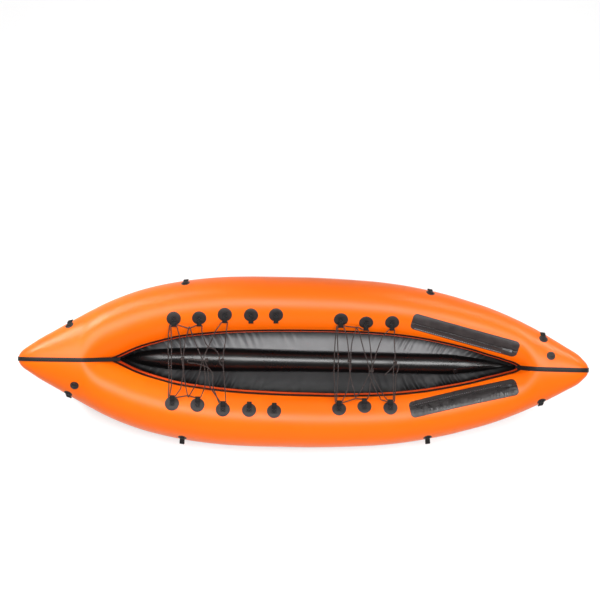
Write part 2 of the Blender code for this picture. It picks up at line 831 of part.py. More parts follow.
def make_cap(side, matrix):
    """The cap turns about the valve's axis: a knob with a grip bar, and a plug below it."""
    knob = CAP_DIAMETER / 2
    plug = VALVE_BORE / 2 - RUNNING_GAP
    chamfer = CAP_HEIGHT / 5
    outline = [
        (0, CAP_HEIGHT),
        (knob - chamfer, CAP_HEIGHT),
        (knob, CAP_HEIGHT - chamfer),
        (knob, 0),
        (plug, 0),
        (plug, -CAP_PLUG_DEPTH),
        (0, -CAP_PLUG_DEPTH),
    ]
    name = f"valve_cap_{SIDE_NAMES[side]}"
    cap = turned(name, outline, "black_plastic", matrix, False)
    bm = bmesh.new()
    bmesh.ops.create_cube(bm, size=1)
    size = (CAP_DIAMETER * CAP_GRIP_SHARE, CAP_GRIP_WIDTH, 2 * CAP_GRIP_HEIGHT)
    bmesh.ops.scale(bm, vec=size, verts=bm.verts)
    bmesh.ops.translate(bm, vec=(0, 0, CAP_HEIGHT), verts=bm.verts)
    grip = add_cutter(f"{name}_grip", mesh_from(bm, f"{name}_grip"), matrix)
    boolean(cap, grip, "UNION")


def floor_valve_frame():
    """On the floor tube's starboard shoulder, near its stern end."""
    share, degrees = FLOOR_VALVE_PLACE_SHARES
    start, end = (bound * HALF_LENGTH for bound in FLOOR_TUBE_END_SHARES)
    x = start + (end - start) * share
    half_width, half_height, centre = floor_tube_section(x)
    angle = math.radians(degrees)
    point = Vector((x, -half_width * math.cos(angle), centre + half_height * math.sin(angle)))
    normal = Vector((0, -math.cos(angle) / half_width, math.sin(angle) / half_height))
    return axis_matrix(point, normal, Vector((1, 0, 0)))


def make_floor_valve(matrix):
    flange = FLOOR_VALVE_FLANGE / 2
    neck = FLOOR_VALVE_NECK / 2
    edge = FLOOR_VALVE_RISE / 3
    outline = [
        (0, LAY_GAP + FLOOR_VALVE_RISE),
        (flange - edge, LAY_GAP + FLOOR_VALVE_RISE),
        (flange, LAY_GAP + FLOOR_VALVE_RISE - edge),
        (flange, LAY_GAP),
        (neck, LAY_GAP),
        (neck, -FLOOR_VALVE_DEPTH),
        (0, -FLOOR_VALVE_DEPTH),
    ]
    turned("floor_valve", outline, "black_plastic", matrix, False, steps=PATCH_SIDES)


# Cargo zips

def zip_end(share, clearance):
    """One end of the zip patch's middle line, in plan on the port side, set off from the rim tape."""
    x = share * HALF_LENGTH
    point, _, around = rim_frame(x)
    edge = point.y - around.y * (RIM_TAPE_WIDTH / 2)
    return Vector((x, edge + clearance + ZIP_PATCH_WIDTH / 2))


def zip_ends():
    return (
        zip_end(ZIP_FORE_SHARE, ZIP_FORE_CLEARANCE),
        zip_end(ZIP_AFT_SHARE, ZIP_AFT_CLEARANCE),
    )


def zip_skin(share, across):
    """A point just clear of the tube's skin, by its share of the zip and its place across it."""
    fore, aft = zip_ends()
    along = (aft - fore).normalized()
    inboard = Vector((along.y, -along.x))
    place = fore.lerp(aft, share) + inboard * across
    return skin_point(place.x, place.y) + Vector((0, 0, LAY_GAP))


def zip_rail():
    """The arc that the ridge's top follows, in the upright plane of the zip's line.

    Its start and way in plan, and its radius and the centre's distance along the line and height.
    """
    across = ZIP_RIDGE_SHARE * ZIP_PATCH_WIDTH
    rise = ZIP_PATCH_THICKNESS + ZIP_RIDGE_HEIGHT
    half = ZIP_RIDGE_WIDTH / 2
    ends = [zip_skin(share, across) for share in (0, 1)]
    start = ends[0].xy
    way = (ends[1].xy - start).normalized()
    chord = Vector(((ends[1].xy - start).length, ends[1].z - ends[0].z))
    dip = ZIP_DIP_SHARE * chord.length
    radius = (chord.length**2 / 4 + dip**2) / (2 * dip)
    upward = Vector((-chord.y, chord.x)).normalized()
    centre = Vector((0, ends[0].z)) + chord / 2 + upward * (radius - dip)
    need = 0.0
    for share in ZIP_ROW_SHARES:
        height = centre.y - math.sqrt(radius**2 - (share * chord.x - centre.x) ** 2)
        for edge in (-half, half):
            need = max(need, zip_skin(share, across + edge).z + rise - height)
    return start, way, radius, centre + Vector((0, need))


def rail_height(rail, along):
    _, _, radius, centre = rail
    return centre.y - math.sqrt(radius**2 - (along - centre.x) ** 2)


def make_zip_patch(side):
    """The welded patch, with the closure's straight ridge standing out of it."""
    rail = zip_rail()
    length = (zip_ends()[1] - zip_ends()[0]).length
    across = ZIP_RIDGE_SHARE * ZIP_PATCH_WIDTH
    half = ZIP_PATCH_WIDTH / 2
    ridge = ZIP_RIDGE_WIDTH / 2
    top = Vector((0, 0, ZIP_PATCH_THICKNESS))
    corners = dict(zip(ZIP_ROW_SHARES, ZIP_CORNER_SHARES))
    corners.update(dict(zip(reversed(ZIP_ROW_SHARES), ZIP_CORNER_SHARES)))
    rings = []
    for share in ZIP_ROW_SHARES:
        edge = half - ZIP_CORNER * corners.get(share, 0.0)
        outer = [edge * column for column in ZIP_COLUMN_SHARES]
        outer += [across - ridge, across + ridge, (across + ridge + edge) / 2, edge]
        below = [zip_skin(share, place) for place in outer]
        above = [point + top for point in reversed(below)]
        crest = rail_height(rail, share * length)
        inboard = Vector((below[5].x, below[5].y, crest))
        outboard = Vector((below[4].x, below[4].y, crest))
        ring = below + above[:3] + [inboard, outboard] + above[3:]
        rings.append(mirrored(ring, side))
    bm = bmesh.new()
    rows = loft(bm, rings)
    bm.faces.new(rows[0])
    bm.faces.new(rows[-1])
    name = f"cargo_zip_{SIDE_NAMES[side]}"
    add_part(name, mesh_from(bm, name), "black_zip")


def slider_frame(side):
    """The slider's frame at the closed end: X towards the bow along the rail, Y across, Z up."""
    start, way, radius, centre = zip_rail()
    along = (zip_ends()[1] - zip_ends()[0]).length - ZIP_END_MARGIN
    slope = (along - centre.x) / radius
    level = math.sqrt(1 - slope**2)
    plan = start + way * along
    point = Vector((plan.x, plan.y, rail_height((start, way, radius, centre), along)))
    forward = Vector((-way.x * level, -way.y * level, -slope))
    place, forward = mirrored((point, forward), side)
    return axis_matrix(place, Vector((0, 0, 1)) - forward * forward.z, forward)


def make_slider(side):
    """A channel that rides on the ridge, with an upright lug for the pull.

    It runs on the rail's arc, so its origin is at the middle of that arc, well above it.
    """
    radius = zip_rail()[2]
    matrix = slider_frame(side) @ Matrix.Translation((0, 0, radius))
    down = Matrix.Translation((0, 0, -radius))
    half = SLIDER_WIDTH / 2
    groove = ZIP_RIDGE_WIDTH / 2 + RUNNING_GAP
    top = SLIDER_GAP + SLIDER_TOP
    channel = [
        (-half, -SLIDER_SKIRT),
        (-groove, -SLIDER_SKIRT),
        (-groove, SLIDER_GAP),
        (groove, SLIDER_GAP),
        (groove, -SLIDER_SKIRT),
        (half, -SLIDER_SKIRT),
        (half, top),
        (-half, top),
    ]
    name = f"zip_slider_{SIDE_NAMES[side]}"
    turn = Matrix(((0, 0, 1, 0), (1, 0, 0, 0), (0, 1, 0, 0), (0, 0, 0, 1)))
    mesh = mesh_of_curve(name, flat_curve(name, [channel], SLIDER_LENGTH), matrix)
    mesh.transform(down @ turn)
    slider = add_part(name, mesh, "slider_metal", matrix)
    lug = [(-LUG_LENGTH / 2, top - SLIDER_TOP / 2), (LUG_LENGTH / 2, top - SLIDER_TOP / 2)]
    round_top = arc((0, pull_height()), LUG_LENGTH / 2, 0, math.pi, 2 * ARC_STEPS)
    hole = arc((0, pull_height()), LUG_HOLE / 2, 0, 2 * math.pi, 3 * ARC_STEPS)[:-1]
    lug_name = f"{name}_lug"
    curve = flat_curve(lug_name, [lug + round_top, hole], LUG_THICKNESS)
    upright = Matrix(((1, 0, 0, 0), (0, 0, -1, 0), (0, 1, 0, 0), (0, 0, 0, 1)))
    lug_mesh = mesh_of_curve(lug_name, curve, matrix)
    lug_mesh.transform(down @ upright)
    boolean(slider, add_cutter(lug_name, lug_mesh, matrix), "UNION")


def pull_height():
    """How high above the rail the pull's hinge lies."""
    return SLIDER_GAP + SLIDER_TOP + LUG_HEIGHT - LUG_LENGTH / 2


def pull_frame(side):
    """The pull's frame on its hinge: X along the pull, which leans down onto the slider's end."""
    drop = Matrix.Rotation(PULL_DROP, 4, "Y")
    return slider_frame(side) @ Matrix.Translation((0, 0, pull_height())) @ drop


def make_pull(side):
    """A flat tab whose end bar passes through the slider's lug, where it is hinged."""
    half_bar = PULL_BAR / 2
    half_width = PULL_WIDTH / 2
    half_eye = PULL_EYE_WIDTH / 2
    end = PULL_LENGTH - half_width
    outer = [(-half_bar, -half_width)]
    outer += arc((end, 0), half_width, -math.pi / 2, math.pi / 2, 2 * ARC_STEPS)
    outer += [(-half_bar, half_width)]
    eye_end = half_bar + PULL_EYE_LENGTH
    eye = [(half_bar, -half_eye), (eye_end, -half_eye), (eye_end, half_eye), (half_bar, half_eye)]
    name = f"zip_pull_{SIDE_NAMES[side]}"
    add_part(name, flat_curve(name, [outer, eye], PULL_THICKNESS), "black_plastic", pull_frame(side))


# Lacing cords

def eye_pass(side, number, lane, way):
    """Two points where the cord enters and leaves a loop's eye, going the given way along X."""
    round_end = LOOP_EYE_HEIGHT / 2 + WEBBING_THICKNESS
    rest = LOOP_TONGUE - round_end + LOOP_EYE_HEIGHT / 2 - CORD_DIAMETER / 2 - 2 * FIT_GAP
    x, y = lifted((rest - lane * CORD_LANE, round_end), LOOP_LIFT)
    frame = lacing_frame(side, number)
    reach = WEBBING_WIDTH / 2 + CORD_PASS_OVERHANG + lane * CORD_LANE
    across = frame.to_3x3() @ Vector((0, 0, 1))
    if across.x * way < 0:
        across.negate()
    centre = frame @ Vector((x, y, 0))
    return [centre - across * reach, centre + across * reach]


def cord_points(route):
    """The route's own points in order, with each pass through a loop put in."""
    points = []
    for stop in route:
        if isinstance(stop[0], str):
            side = 1 if stop[0] == "port" else -1
            points += eye_pass(side, *stop[1:])
        else:
            points.append(Vector(stop) * MM)
    return points


def make_cord(name, route):
    curve = bpy.data.curves.new(name, "CURVE")
    curve.dimensions = "3D"
    curve.bevel_depth = CORD_DIAMETER / 2
    curve.bevel_resolution = 2
    curve.use_fill_caps = True
    curve.resolution_u = 1
    points = cord_points(route)
    spline = curve.splines.new("POLY")
    spline.points.add(len(points) - 1)
    for point, place in zip(spline.points, points):
        point.co = (*place, 1)
    add_part(name, curve, "dark_cord")


# The cords' routes in millimetres, end to end: places, and passes through a loop's eye, each with its
# side, its number, its lane in the eye (0 by the cockpit) and its way along X
FORE_ROUTE = (
    (-416, -26, 262),
    (-435, -13, 264),
    (-442, 7, 265),
    (-440, 28, 265),
    (-450, 48, 266),
    (-467, 65, 267),
    (-500, 77, 267),
    (-514, 95, 269),
    (-526, 129, 273),
    (-534, 159, 277),
    ("port", 2, 0, -1),
    (-591, 173, 279),
    (-607, 172, 279),
    ("port", 1, 1, -1),
    (-706, 143, 275),
    (-708, 60, 267),
    (-703, -24, 265),
    (-699, -101, 269),
    ("starboard", 1, 1, 1),
    (-598, -177, 280),
    ("starboard", 2, 0, 1),
    (-513, -136, 274),
    (-510, -82, 268),
    (-518, -26, 265),
    (-530, 12, 262),
    (-550, 58, 267),
    (-570, 104, 270),
    (-585, 144, 275),
    (-593, 169, 285),
    (-597, 178, 284),
    (-600, 178, 274),
    (-603, 169, 273),
    (-611, 136, 274),
    (-621, 89, 269),
    (-627, 43, 266),
    (-627, 4, 265),
    (-624, -48, 266),
    (-631, -100, 270),
    (-637, -143, 275),
    ("starboard", 1, 0, -1),
    (-685, -127, 273),
    (-689, -49, 266),
    (-690, 18, 265),
    (-690, 96, 269),
    ("port", 1, 0, 1),
    (-650, 136, 279),
    (-642, 76, 273),
    (-637, 25, 270),
    (-627, -41, 271),
    (-619, -92, 274),
    (-610, -134, 278),
    (-600, -175, 286),
    (-597, -184, 285),
    (-593, -184, 275),
    (-590, -175, 274),
    (-579, -156, 281),
    (-564, -130, 278),
    (-542, -65, 271),
    (-531, -0, 267),
    (-516, 36, 271),
    (-502, 71, 273),
    (-482, 111, 276),
    (-467, 153, 281),
    ("port", 3, 0, 1),
    (-408, 149, 275),
    (-413, 93, 269),
    (-420, 47, 266),
    (-423, 8, 266),
    (-418, -36, 269),
    (-412, -96, 269),
    ("starboard", 3, 0, -1),
    (-487, -131, 267),
    (-495, -77, 274),
    (-500, -29, 268),
    (-515, 3, 274),
    (-565, 9, 272),
    (-598, 10, 271),
    (-608, 0, 271),
    (-598, -9, 271),
    (-561, -10, 273),
    (-514, -23, 275),
    (-486, -41, 273),
    (-470, -76, 274),
    (-469, -129, 293),
    ("starboard", 3, 1, 1),
)
AFT_ROUTE = (
    (422, -54, 230),
    (443, -33, 228),
    (460, -14, 227),
    (480, 6, 226),
    (496, -2, 225),
    (491, -25, 226),
    (481, -59, 223),
    (479, -132, 229),
    ("starboard", 8, 1, -1),
    (406, -182, 240),
    (382, -141, 235),
    (359, -98, 235),
    (344, -58, 230),
    (341, -22, 227),
    (327, 29, 228),
    (312, 70, 231),
    (297, 122, 236),
    (286, 162, 242),
    (275, 182, 252),
    (272, 188, 251),
    (269, 188, 242),
    (266, 182, 240),
    (259, 159, 243),
    (249, 123, 239),
    (244, 81, 235),
    (243, 30, 232),
    (245, -22, 232),
    (238, -74, 234),
    (230, -132, 240),
    ("starboard", 6, 0, -1),
    (176, -117, 241),
    (179, -54, 236),
    (178, 11, 235),
    (175, 76, 237),
    (171, 138, 244),
    ("port", 6, 0, 1),
    (218, 154, 249),
    (226, 103, 242),
    (232, 53, 239),
    (236, -1, 237),
    (242, -58, 239),
    (253, -100, 241),
    (264, -135, 244),
    (268, -164, 249),
    (271, -171, 248),
    (274, -171, 239),
    (278, -164, 238),
    (296, -144, 244),
    (314, -106, 239),
    (334, -64, 235),
    (352, -22, 233),
    (367, 24, 231),
    (378, 68, 233),
    (392, 110, 236),
    (407, 150, 240),
    ("port", 8, 0, 1),
    (467, 155, 233),
    (471, 103, 226),
    (476, 45, 222),
    (469, -7, 221),
    (468, -70, 224),
    (470, -132, 230),
    ("starboard", 8, 0, -1),
    (416, -156, 235),
    (396, -123, 232),
    (372, -82, 229),
    (357, -46, 228),
    (356, -9, 226),
    (352, 28, 227),
    (347, 71, 229),
    (341, 115, 233),
    (334, 154, 239),
    ("port", 7, 0, -1),
    (278, 195, 246),
    (263, 193, 247),
    ("port", 6, 1, -1),
    (161, 143, 245),
    (158, 76, 238),
    (157, 11, 236),
    (157, -55, 237),
    (162, -117, 242),
    ("starboard", 6, 1, 1),
    (274, -178, 245),
    ("starboard", 7, 0, 1),
    (346, -147, 237),
    (347, -104, 230),
    (357, -74, 226),
)

SIDE_NAMES = {1: "port", -1: "starboard"}
RIM_ANGLE = math.radians(162)
CAP_GRIP_SHARE = 0.86

empty_scene()
PARTS = new_collection("packraft")
CUTTERS = new_collection("cutters")
BOAT = bpy.data.objects.new("boat", None)
PARTS.objects.link(BOAT)

bow_valve = valve_frame(BOW_VALVE_SHARES)
stern_valve = valve_frame(STERN_VALVE_SHARES)
floor_valve = floor_valve_frame()
make_side_tube(1, stern_valve)
make_side_tube(-1, bow_valve)
make_floor_sheet()
make_floor_tube(floor_valve)
make_rim_tape()
make_seam_tape("seam_tape_bow", SEAM_START_SHARES[0], -1)
make_seam_tape("seam_tape_stern", SEAM_START_SHARES[1], 1)
for hand in (1, -1):
    for patch_number in range(1, len(LACING_SHARES) + 1):
        make_lacing(hand, patch_number)
    for tie_down in TIE_SHARES:
        make_tie_down(hand, *tie_down)
    make_zip_patch(hand)
    make_slider(hand)
    make_pull(hand)
make_valve(-1, bow_valve)
make_valve(1, stern_valve)
make_floor_valve(floor_valve)
make_cord("lacing_cord_fore", FORE_ROUTE)
make_cord("lacing_cord_aft", AFT_ROUTE)
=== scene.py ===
"""The looks of a packraft, laid out as a Blender add-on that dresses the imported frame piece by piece.

The boat lies along X with its stern towards +X, its port side towards +Y, and rests on the ground.
The camera looks straight down on its deck.
"""

import json
import math

import bmesh
import bpy
import numpy as np
from bpy.props import FloatProperty, FloatVectorProperty, IntProperty, PointerProperty
from mathutils import Matrix, Vector


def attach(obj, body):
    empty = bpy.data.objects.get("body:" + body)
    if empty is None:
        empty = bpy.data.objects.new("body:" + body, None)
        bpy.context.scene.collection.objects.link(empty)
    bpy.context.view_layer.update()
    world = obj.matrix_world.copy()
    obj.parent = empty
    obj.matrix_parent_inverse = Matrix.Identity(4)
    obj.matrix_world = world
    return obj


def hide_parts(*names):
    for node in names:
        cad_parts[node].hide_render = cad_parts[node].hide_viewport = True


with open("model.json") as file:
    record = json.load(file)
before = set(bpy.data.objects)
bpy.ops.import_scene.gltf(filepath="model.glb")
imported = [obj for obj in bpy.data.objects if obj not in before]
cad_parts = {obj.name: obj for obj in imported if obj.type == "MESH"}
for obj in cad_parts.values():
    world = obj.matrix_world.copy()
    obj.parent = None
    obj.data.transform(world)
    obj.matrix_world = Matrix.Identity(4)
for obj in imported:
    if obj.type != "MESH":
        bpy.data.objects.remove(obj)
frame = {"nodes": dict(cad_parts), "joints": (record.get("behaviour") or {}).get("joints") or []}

bl_info = {
    "name": "Packraft Looks",
    "version": (1, 0, 0),
    "blender": (4, 5, 0),
    "location": "View3D > Sidebar > Packraft",
    "description": "Dresses the frame of an inflatable packraft in fabric, webbing, cord and moulded parts",
    "category": "Object",
}

# The hull's sizes in metres, as in the part's source, and the turns of its rim and rim tape
LENGTH = 2.93
BEAM = 0.90
TUBE_RADIUS = 0.1455
TIP_RISE = 0.20
RISE_LENGTH = 0.85
DECK_LEVEL = 0.0018
LAY_GAP = 0.0006
CENTRE_GAP = 0.0003
HALF_LENGTH = LENGTH / 2
HALF_BEAM = BEAM / 2
AXIS_OFFSET = HALF_BEAM - TUBE_RADIUS
RIM_ANGLE = math.radians(162)
TAPE_TURN = math.radians(3.9)

# Shares of the half length, half beam, axis offset, tube height and centre height, bow to stern. They are
# those of the part's source, but for a gentler parting of the tubes at both ends.
HULL_SHARES = (
    (-1, 0, 0, 0, 1), (-0.9947, 0.053, 0, 0.15, 1), (-0.982, 0.106, 0, 0.29, 1),
    (-0.9686, 0.139, 0, 0.39, 1), (-0.93, 0.23, 0, 0.58, 1), (-0.8833, 0.324, 0, 0.74, 1),
    (-0.8366, 0.418, 0, 0.88, 1), (-0.786, 0.5165, 0, 0.98, 1), (-0.7762, 0.536, 0.06, 0.99, 1),
    (-0.766, 0.555, 0.15, 0.998, 1), (-0.7544, 0.576, 0.24, 1, 1), (-0.738, 0.606, 0.33, 1, 1),
    (-0.7158, 0.645, 0.423, 1, 1), (-0.6584, 0.7313, 0.5593, 1, 1), (-0.594, 0.8096, 0.6902, 1, 1),
    (-0.5259, 0.8724, 0.789, 1, 1), (-0.4447, 0.926, 0.8775, 1, 1), (-0.3554, 0.9665, 0.9355, 1, 1),
    (-0.2589, 0.991, 0.9757, 1, 1), (-0.1411, 1, 0.9959, 0.995, 0.995), (0, 1, 1.0028, 0.98, 0.98),
    (0.0768, 0.995, 1.0012, 0.955, 0.955), (0.1909, 0.979, 0.9842, 0.93, 0.93),
    (0.2731, 0.961, 0.9632, 0.905, 0.905), (0.3442, 0.935, 0.9314, 0.885, 0.885),
    (0.43, 0.889, 0.8722, 0.86, 0.86), (0.5158, 0.83, 0.7906, 0.84, 0.84),
    (0.6011, 0.7513, 0.6865, 0.825, 0.825), (0.6584, 0.6916, 0.6021, 0.815, 0.815),
    (0.7158, 0.6193, 0.5102, 0.805, 0.805), (0.7727, 0.536, 0.3901, 0.79, 0.79),
    (0.79, 0.508, 0.3, 0.786, 0.787), (0.8048, 0.4838, 0.2, 0.782, 0.785),
    (0.817, 0.463, 0.105, 0.78, 0.783), (0.827, 0.446, 0.035, 0.778, 0.78),
    (0.8366, 0.4276, 0, 0.775, 0.78), (0.8833, 0.339, 0, 0.65, 0.78), (0.926, 0.252, 0, 0.53, 0.78),
    (0.9686, 0.16, 0, 0.37, 0.78), (0.982, 0.112, 0, 0.28, 0.78), (0.9947, 0.06, 0, 0.15, 0.78),
    (1, 0, 0, 0, 0.78),
)

# Floor tube: its ends along X, and its girth by share of its own length
FLOOR_TUBE_ENDS = (-0.6635 * HALF_LENGTH, 0.7509 * HALF_LENGTH)
FLOOR_TUBE_WIDTH = 0.126
FLOOR_TUBE_HEIGHT = 0.100
FLOOR_TUBE_SHARES = (
    (0.0, 0.0), (0.0085, 0.18), (0.017, 0.29), (0.036, 0.48), (0.066, 0.70), (0.100, 0.84),
    (0.150, 0.94), (0.250, 1.00), (0.370, 0.94), (0.490, 0.88), (0.720, 0.87), (0.830, 0.87),
    (0.880, 0.76), (0.920, 0.57), (0.957, 0.35), (0.980, 0.19), (1.0, 0.0),
)

# Lacing patches: share of the half length, and degrees from the tube's crest towards the cockpit
LACING_SHARES = (
    (-0.4638, 16.5),
    (-0.3743, 22.5),
    (-0.2838, 19.5),
    (-0.1912, 22.5),
    (-0.1028, 22.5),
    (0.1276, 30.5),
    (0.2176, 35.0),
    (0.3102, 29.0),
)

# Tie-downs: name, share of the half length, degrees above the outer side and lift, port then starboard
TIE_SHARES = (
    ("bow", -0.8300, (25.0, 23.0), (-0.38, -0.38)),
    ("fore", -0.4302, (25.0, 26.5), (-0.38, 1.0)),
    ("aft", 0.4496, (25.0, 26.5), (-0.38, 1.0)),
    ("stern", 0.8444, (33.0, 23.0), (-0.38, -0.38)),
)
TIE_LIFT = math.radians(30)
TIE_FLAT_HEIGHT = 0.0030

# Webbing loops, in their own frame: p runs along the tongue and q away from the tube
WEBBING_WIDTH = 0.025
WEBBING_THICKNESS = 0.0018
LOOP_BASE = 0.026
LOOP_TONGUE = 0.0295
LOOP_EYE_HEIGHT = 0.0070
LOOP_LIFT = math.radians(12)
PATCH_THICKNESS = 0.0016
LACING_LOOP_LIFT = LAY_GAP + PATCH_THICKNESS + 0.0003
TIE_LOOP_LIFT = LAY_GAP + PATCH_THICKNESS - 0.0002

# Valves: side, share of the half length, and degrees above the outer side
VALVES = {"starboard": (-1, -0.8015, 53.0), "port": (1, 0.8651, 65.5)}

# Cargo zips: ends by shares of the half length and half beam, then the ridge's place and its dip
ZIP_FORE_SHARES = (0.3804, 0.520)
ZIP_AFT_SHARES = (0.7547, 0.209)
ZIP_PATCH_WIDTH = 0.084
ZIP_RIDGE_SHARE = 0.18
ZIP_DIP_SHARE = 0.052

# Where each cockpit panel's painted shade is full at the bow, gone, still gone and full again at the stern
LINER_FADES = {1: (-0.88, -0.76, 0.78, 0.97), -1: (-0.96, -0.88, 0.96, 1.08)}

SIDES = {1: "port", -1: "starboard"}
CORD_DIAMETER = 0.0055
CORD_LANE = 0.0055

# The cords' routes in millimetres, end to end: places, and passes through a loop's eye
FORE_ROUTE = (
    (-416, -26, 262), (-435, -13, 264), (-442, 7, 265), (-440, 28, 265), (-450, 48, 266),
    (-467, 65, 267), (-500, 77, 267), (-514, 95, 269), (-526, 129, 273), (-534, 159, 277),
    ("port", 2, 0, -1), (-591, 173, 279), (-607, 172, 279), ("port", 1, 1, -1), (-706, 143, 275),
    (-708, 60, 267), (-703, -24, 265), (-699, -101, 269), ("starboard", 1, 1, 1), (-598, -177, 280),
    ("starboard", 2, 0, 1), (-513, -136, 274), (-510, -82, 268), (-518, -26, 265), (-530, 12, 262),
    (-550, 58, 267), (-570, 104, 270), (-585, 144, 275), (-593, 169, 285), (-597, 178, 284),
    (-600, 178, 274), (-603, 169, 273), (-611, 136, 274), (-621, 89, 269), (-627, 43, 266),
    (-627, 4, 265), (-624, -48, 266), (-631, -100, 270), (-637, -143, 275), ("starboard", 1, 0, -1),
    (-685, -127, 273), (-689, -49, 266), (-690, 18, 265), (-690, 96, 269), ("port", 1, 0, 1),
    (-650, 136, 279), (-642, 76, 273), (-637, 25, 270), (-627, -41, 271), (-619, -92, 274),
    (-610, -134, 278), (-600, -175, 286), (-597, -184, 285), (-593, -184, 275), (-590, -175, 274),
    (-579, -156, 281), (-564, -130, 278), (-542, -65, 271), (-531, -0, 267), (-516, 36, 271),
    (-502, 71, 273), (-482, 111, 276), (-467, 153, 281), ("port", 3, 0, 1), (-408, 149, 275),
    (-413, 93, 269), (-420, 47, 266), (-423, 8, 266), (-418, -36, 269), (-412, -96, 269),
    ("starboard", 3, 0, -1), (-487, -131, 267), (-495, -77, 274), (-500, -29, 268), (-515, 3, 274),
    (-565, 9, 272), (-598, 10, 271), (-608, 0, 271), (-598, -9, 271), (-561, -10, 273),
    (-514, -23, 275), (-486, -41, 273), (-470, -76, 274), (-469, -129, 293), ("starboard", 3, 1, 1),
)
AFT_ROUTE = (
    (422, -54, 230), (443, -33, 228), (460, -14, 227), (480, 6, 226), (496, -2, 225), (491, -25, 226),
    (481, -59, 223), (479, -132, 229), ("starboard", 8, 1, -1), (406, -182, 240), (382, -141, 235),
    (359, -98, 235), (344, -58, 230), (341, -22, 227), (327, 29, 228), (312, 70, 231), (297, 122, 236),
    (286, 162, 242), (275, 182, 252), (272, 188, 251), (269, 188, 242), (266, 182, 240),
    (259, 159, 243), (249, 123, 239), (244, 81, 235), (243, 30, 232), (245, -22, 232), (238, -74, 234),
    (230, -132, 240), ("starboard", 6, 0, -1), (176, -117, 241), (179, -54, 236), (178, 11, 235),
    (175, 76, 237), (171, 138, 244), ("port", 6, 0, 1), (218, 154, 249), (226, 103, 242),
    (232, 53, 239), (236, -1, 237), (242, -58, 239), (253, -100, 241), (264, -135, 244),
    (268, -164, 249), (271, -171, 248), (274, -171, 239), (278, -164, 238), (296, -144, 244),
    (314, -106, 239), (334, -64, 235), (352, -22, 233), (367, 24, 231), (378, 68, 233), (392, 110, 236),
    (407, 150, 240), ("port", 8, 0, 1), (467, 155, 233), (471, 103, 226), (476, 45, 222),
    (469, -7, 221), (468, -70, 224), (470, -132, 230), ("starboard", 8, 0, -1), (416, -156, 235),
    (396, -123, 232), (372, -82, 229), (357, -46, 228), (356, -9, 226), (352, 28, 227), (347, 71, 229),
    (341, 115, 233), (334, 154, 239), ("port", 7, 0, -1), (278, 195, 246), (263, 193, 247),
    ("port", 6, 1, -1), (161, 143, 245), (158, 76, 238), (157, 11, 236), (157, -55, 237),
    (162, -117, 242), ("starboard", 6, 1, 1), (274, -178, 245), ("starboard", 7, 0, 1),
    (346, -147, 237), (347, -104, 230), (357, -74, 226),
)

# Knots on the cords: which cord, the place in millimetres and the way it is tied about
KNOTS = (
    ("fore", (-631, 14, 267), (0.1, 1.0, 0)),
    ("fore", (-506, 8, 270), (1.0, 0.2, 0)),
    ("fore", (-426, 8, 266), (0.1, 1.0, 0)),
    ("aft", (237, 18, 234), (0.1, 1.0, 0)),
    ("aft", (355, -33, 229), (0.1, 1.0, 0)),
    ("aft", (476, 12, 223), (0.4, 1.0, 0)),
)

# How closely the hull's meshes follow it
TIP_SHARE = 0.99995
TIP_CROWDING = 1.35
TUBE_STEP_DEGREES = 4
# Degrees round the tube where the strip of painted light and shade below the rim tape starts, fades in and
# ends
STRIP_START, STRIP_FADE, STRIP_END = 160, 4, 200
RIM_MEETS = 0.002
SAME_POINT = 1e-6

# Cloth, tapes and stitches
LINER_END_GAP = 0.004
LINER_LIFT = 0.0010
LINER_THICKNESS = 0.0006
FLOOR_CLOTH_TURN_UP = 0.020
FLOOR_CLOTH_THICKNESS = 0.0007
FLOOR_CLOTH_BULGE = 0.0008
TAPE_THICKNESS = 0.0013
TAPE_CORNER = 0.0005
RIM_TAPE_LIFT = 0.0009
RIM_TAPE_KEEP_OFF = 0.0034
SEAM_TAPE_LIFT = 0.0010
STITCH_SIZE = (0.0021, 0.0007, 0.0006)

# Seam tapes: the way along X, the share of the half length where they start, and their width
SEAMS = {"bow": (-1, 0.6560, 0.0215), "stern": (1, 0.7620, 0.0228)}

# Welded discs: radius as a share and height above the skin
DISC_PROFILE = (
    (0.0, 0.0018), (0.25, 0.0018), (0.45, 0.0018), (0.62, 0.0019), (0.80, 0.0018), (0.86, 0.0017),
    (0.89, 0.0012), (0.95, 0.0011), (0.985, 0.0009), (1.0, 0.0004), (1.0, -0.0004),
)
LACING_DISC = 0.074
TIE_DISC = 0.046

# Valves: radius and height of the body and of the cap, and the cap's grip by length, width and height
VALVE_BODY = (
    (0.0105, -0.016), (0.0140, -0.016), (0.0140, 0.0006), (0.0212, 0.0006), (0.0220, 0.0011),
    (0.0220, 0.0020), (0.0214, 0.0028), (0.0190, 0.0031), (0.0180, 0.0036), (0.0174, 0.0068),
    (0.0168, 0.0078), (0.0158, 0.0081), (0.0112, 0.0081), (0.0105, 0.0076), (0.0105, -0.016),
)
VALVE_CAP = (
    (0.0, -0.0065), (0.0095, -0.0065), (0.0101, -0.0060), (0.0101, 0.0), (0.0154, 0.0), (0.0160, 0.0006),
    (0.0160, 0.0034), (0.0156, 0.0041), (0.0148, 0.0045), (0.0130, 0.0046), (0.0122, 0.0040),
    (0.0, 0.0040),
)
CAP_GRIP = (
    (0.0240, 0.0046, 0.0036), (0.0240, 0.0046, 0.0060), (0.0232, 0.0040, 0.0070), (0.0218, 0.0028, 0.0074),
)
CAP_HEIGHT = 0.0085
CAP_RADIUS = 0.0160
RIB_SIZE = (0.0010, 0.0007, 0.0030)
RIB_PITCH = 0.0028

# Zip flaps: corner, crest half width, and on each side the creases' depth, the crumpled place and its factor
FLAP_CORNER = 0.022
FLAP_HEIGHT = 0.0016
FLAP_THICKNESS = 0.0007
CREST_HALF = 0.0052
CRUMPLES = {1: (0.00025, 0.915, 7.0), -1: (0.0008, 0.955, 3.4)}
CREASE_DEPTH = 0.0011
TOOTH_SIZE = (0.0019, 0.0026, 0.0005)
TOOTH_DEPTH = 0.0002

